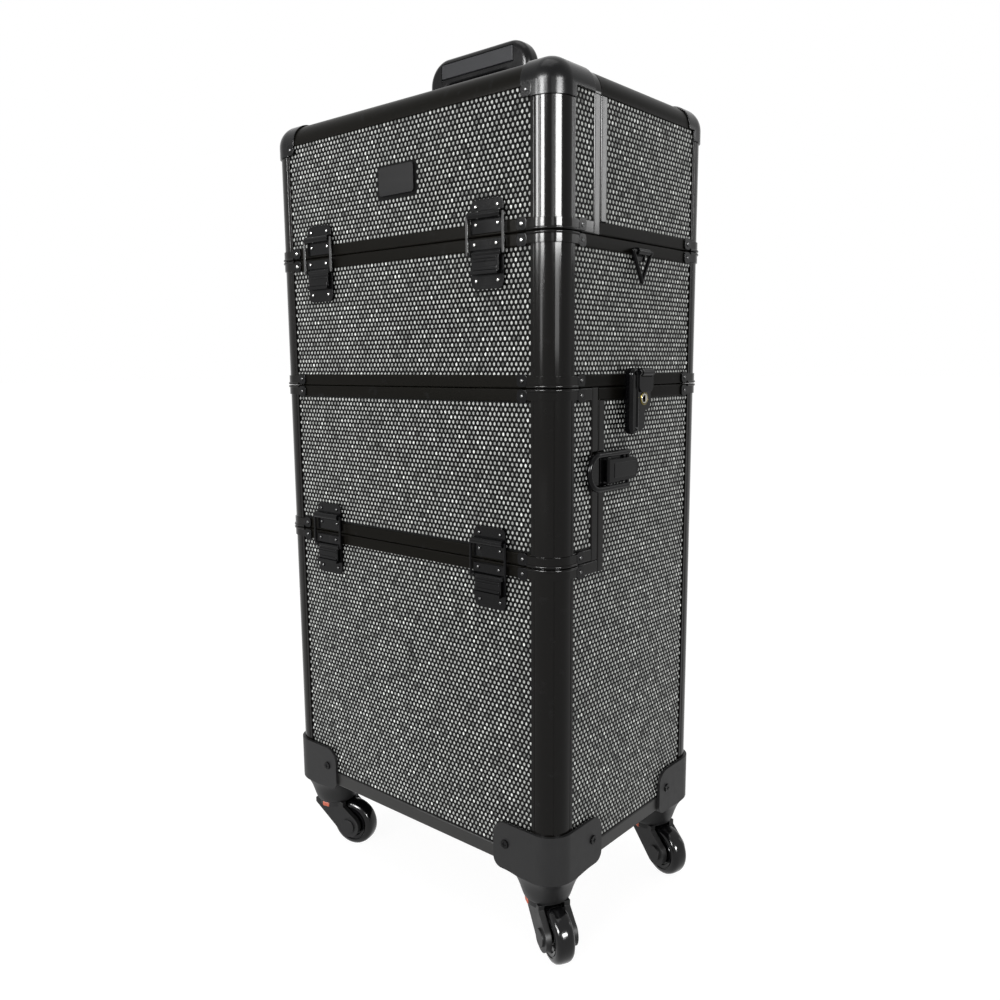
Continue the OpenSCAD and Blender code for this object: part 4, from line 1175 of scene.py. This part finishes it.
@dataclass
class RollingGear:
    """Corner housings with their flares and screws, forks with red inserts, and wheels."""

    wheel_r: float = 25.0
    wheel_w: float = 18.0
    caster_x: float = 150.0
    caster_y: float = 92.0
    trail: float = 24.0
    socket_r: float = 24.0
    flare_x: float = 33.1
    flare_y: float = 31.1
    flare_z: float = 77.6
    flare_wide: float = 32.9
    flare_top: float = 78.6
    flare_power: float = 2.36
    stem_r: float = 5.15
    collar_r: float = 19.6
    collar_z: float = 47.9
    peg_turn: float = -96.0
    peg_half: float = 4.6
    peg_h: float = 2.6
    turns: dict = field(
        default_factory=lambda: {
            "front_right": (1, -1, -30.0),
            "front_left": (-1, -1, 16.0),
            "rear_right": (1, 1, -18.0),
            "rear_left": (-1, 1, 203.0),
        }
    )

    def build(self) -> None:
        """Builds the housings and the four casters."""
        housing = clipped(skin("corner_housings", 1.1, 3), self.flare_z)
        dressed(housing, "base", MOULDED, ("corner_housings",))
        reskin("housing_screws", "base", ENAMEL, 0.35)
        wheel, flares = self.wheel(), []
        for name, (sx, sy, turn) in self.turns.items():
            place = Matrix.Translation(vec(sx * self.caster_x, MID_Y + sy * self.caster_y, 0))
            matrix = place @ Matrix.Rotation(math.radians(turn), 4, "Z")
            flares.append(moved(self.flare(), place))
            reskin("fork_" + name, "fork_" + name, MOULDED, 2.4, 4)
            self.insert(name, matrix)
            copy = copied(wheel, "turned_wheel_" + name, matrix)
            dressed(copy, "wheel_" + name, TYRE, ("wheel_" + name,), 40)
        dressed(joined("housing_flares", flares), "base", MOULDED, angle=60)
        bpy.data.objects.remove(wheel)

    def flare(self) -> Mesh:
        """Turns the concave sweep from a housing's rounded plate down to its socket."""
        outer = (
            (self.flare_wide, 77.9), (31.6, 76.2), (29.9, 73.6), (28.2, 70.6), (26.6, 66.8), (25.1, 62.4),
            (23.8, 58.2), (22.6, 54.6), (21.8, 52.7), (20.9, 51.9), (19.8, 51.7),
        )
        start = (self.stem_r, self.flare_top)
        piece = spun("flare", [start, (self.flare_wide, self.flare_top), *outer, (self.stem_r, 51.7), start])
        socket, power = self.socket_r, self.flare_power
        with editing(piece) as bm:
            for vertex in bm.verts:
                radius = math.hypot(vertex.co.x, vertex.co.y) / MM
                if radius > socket:
                    cosine, sine = abs(vertex.co.x) / MM / radius, abs(vertex.co.y) / MM / radius
                    reach = ((cosine / self.flare_x) ** power + (sine / self.flare_y) ** power) ** (-1 / power)
                    new = socket + (radius - socket) / (self.flare_wide - socket) * (reach - socket)
                    vertex.co.x *= new / radius
                    vertex.co.y *= new / radius
        return piece

    def insert(self, name: str, matrix: Matrix) -> None:
        """A small red peg let into a fork's collar."""
        low = (self.collar_r - 3.0, -self.peg_half, -self.peg_h)
        piece = rounded(slab("red_peg_" + name, low, (self.collar_r + 0.5, self.peg_half, self.peg_h)), 1.2, 3)
        turn = Matrix.Rotation(math.radians(self.peg_turn), 4, "Z")
        place = matrix @ Matrix.Translation(vec(0, 0, self.collar_z)) @ turn
        dressed(moved(piece, place), "fork_" + name, RED)

    def wheel(self) -> Mesh:
        """Turns one wheel on the caster's own axes, with a rounded tread, a rim groove and a dished hub."""
        r, half = self.wheel_r, self.wheel_w / 2
        side = [
            (3.1, half - 0.6), (8, half - 0.6), (9, half - 2.2), (13.6, half - 2.2), (14.6, half - 0.4),
            (17.2, half - 0.1), (17.6, half - 1.0), (18.4, half - 1.0), (18.8, half - 0.1),
            (r - 4.4, half - 0.2), (r - 2.2, half - 1.3), (r - 0.8, half - 3.0), (r - 0.1, half - 5.5),
        ]
        outline = side + [(r, 0)] + [(a, -b) for a, b in reversed(side)] + [side[0]]
        piece = spun("wheel_turning", outline, 56)
        matrix = Matrix.Translation(vec(self.trail, 0, r)) @ Matrix.Rotation(math.pi / 2, 4, "X")
        return moved(piece, matrix)


# Studio


@dataclass
class Studio:
    """Floor, lights, white surroundings and the camera of the photograph."""

    camera_at: Point = (615.9, -707.2, 534.2)
    camera_to: Point = (17.9, -7.8, 394.0)
    camera_roll: float = -0.41
    lens: float = 32.316
    sensor: float = 36.0
    floor_size: float = 60.0
    floor_colour: Colour = (0.62, 0.61, 0.6)
    floor_rough: float = 0.8
    floor_white: float = 0.7
    floor_level: float = 1.34
    glow: float = 0.45
    ring: float = 2600.0
    lamp_to: Point = (0, 0, 400)
    unlit: tuple[str, ...] = ("_studs_", "_panels", "bail")
    strips: tuple = (
        ("strip_far_left", -119.0, 0.4, 950, 1560, 60.0),
        ("strip_soft_left", -108.0, 0.25, 950, 1560, 25.0),
        ("strip_left", -93.0, 0.7, 950, 1560, 95.0),
        ("strip_near", -46.0, 0.5, 950, 1560, 5.0),
        ("strip_right", -17.0, 1.1, 950, 1560, 95.0),
        ("strip_back", 56.0, 0.5, 900, 1560, 2.0),
        ("strip_bars", 56.5, 0.08, 1000, 1520, 14.0),
        ("strip_handle", -91.0, 1.7, 1600, 2000, 55.0),
        ("low_left", -100.0, 0.5, 560, 950, 9.0),
        ("low_right", -22.0, 0.7, 560, 950, 9.0),
    )

    def build(self) -> None:
        """Builds the stage and the lights: the strips light only the plain pieces."""
        self.floor()
        self.world()
        plain = bpy.data.collections.new("plain_pieces")
        for piece in bpy.context.scene.objects:
            if piece.type == "MESH" and not any(word in piece.name for word in self.unlit):
                plain.objects.link(piece)
        for name, azimuth, width, low, high, radiance in self.strips:
            lamp = self.strip(name, azimuth, width, low, high, radiance)
            lamp.light_linking.receiver_collection = plain
        self.lamp("overhead", (0, -300, 3200), self.lamp_to, (1.6, 1.6), 14)
        key = self.lamp("key", (200, -3400, 620), self.lamp_to, (2.2, 1.2), 75)
        key.visible_glossy = False
        self.view()

    def strip(
        self, name: str, azimuth: float, width: float, low: float, high: float, radiance: float
    ) -> bpy.types.Object:
        """An upright strip light round the near corner.

        Args:
            name: The lamp's name.
            azimuth: Its direction from the corner, in degrees.
            width: Its width in metres.
            low: The height of its lower end.
            high: The height of its upper end.
            radiance: How bright it is in itself.

        Returns:
            The lamp.
        """
        angle = math.radians(azimuth)
        corner, middle = (HALF_W, FRONT_Y), (low + high) / 2
        place = (corner[0] + self.ring * math.cos(angle), corner[1] + self.ring * math.sin(angle), middle)
        height = (high - low) * MM
        lamp = self.lamp(name, place, (*corner, middle), (width, height), math.pi * radiance * width * height)
        lamp.visible_diffuse = False
        return lamp

    def floor(self) -> None:
        """A plain pale floor."""
        bpy.ops.object.select_all(action="DESELECT")
        bpy.ops.mesh.primitive_plane_add(size=self.floor_size, location=(0, 0, 0))
        plane = bpy.context.object
        plane.name = "studio_floor"
        made = bpy.data.materials.new("pale_floor")
        made.use_nodes = True
        tree = made.node_tree
        shader = tree.nodes["Principled BSDF"]
        colour = (*self.floor_colour, 1)
        plug(tree, shader, {"Base Color": colour, "Roughness": self.floor_rough, "Specular IOR Level": 0.0})
        white = add_node(tree, "Emission", {"Strength": self.floor_level}).outputs["Emission"]
        share = add_node(tree, "Math", {0: self.seen(tree), 1: self.floor_white}, operation="MULTIPLY")
        mix = add_node(tree, "MixShader", {"Fac": share.outputs["Value"], 1: shader.outputs["BSDF"], 2: white})
        plug(tree, tree.nodes["Material Output"], {"Surface": mix.outputs["Shader"]})
        plane.data.materials.append(made)

    @staticmethod
    def seen(tree: Tree) -> Socket:
        """Tells whether a ray comes from the camera, a reflection or a clear material.

        Args:
            tree: The node tree to add to.

        Returns:
            The socket that is 1 for such a ray and 0 for others.
        """
        path = add_node(tree, "LightPath").outputs
        seen = path["Is Camera Ray"]
        for kind in ("Is Glossy Ray", "Is Transmission Ray"):
            seen = add_node(tree, "Math", {0: seen, 1: path[kind]}, operation="MAXIMUM").outputs[0]
        return seen

    def world(self) -> None:
        """Soft light from all round, and a white background."""
        world = bpy.data.worlds.new("white_studio")
        world.use_nodes = True
        bpy.context.scene.world = world
        tree = world.node_tree
        level = spanned(tree, self.seen(tree), self.glow, 1.0)
        plug(tree, tree.nodes["Background"], {"Color": (1, 1, 1, 1), "Strength": level})

    @staticmethod
    def lamp(name: str, place: Point, target: Point, size: tuple[float, float], power: float) -> bpy.types.Object:
        """A soft box that points at a place."""
        data = bpy.data.lights.new(name, "AREA")
        data.shape = "RECTANGLE"
        data.size, data.size_y = size
        data.energy = power
        lamp = linked(name, data)
        lamp.location = vec(*place)
        lamp.rotation_euler = (vec(*target) - vec(*place)).to_track_quat("-Z", "Y").to_euler()
        return lamp

    def view(self) -> None:
        """The camera, where the photograph was taken."""
        data = bpy.data.cameras.new("view")
        data.lens = self.lens
        data.sensor_width = self.sensor
        camera = linked("view", data)
        camera.location = vec(*self.camera_at)
        look = (vec(*self.camera_to) - vec(*self.camera_at)).to_track_quat("-Z", "Y")
        roll = Matrix.Rotation(math.radians(self.camera_roll), 4, "Z")
        camera.rotation_euler = (look.to_matrix().to_4x4() @ roll).to_euler()
        bpy.context.scene.camera = camera
        bpy.context.scene.view_settings.view_transform = "Standard"


BARE_NODES = {
    "base_floor": CLOTH, "tub_floor": CLOTH, "trolley_guides": GUNMETAL, "trolley_brackets": MOULDED,
    "trolley_mid_tubes": GUNMETAL, "trolley_inner_tubes": GUNMETAL, "trolley_grip": MOULDED,
    "trolley_button": GUNMETAL, "back_hinges": GUNMETAL, "name_plate": NAME,
}


def main() -> None:
    """Builds every part in order."""
    for part in (GlitterPanels(), CaseFrame(), Fastenings(), CarryHandle(), RollingGear()):
        part.build()
        LOG.info("%s built", type(part).__name__)
    for node, finish in BARE_NODES.items():
        coat(frame["nodes"][node], finish)
    Studio().build()


if __name__ == "__main__":
    main()
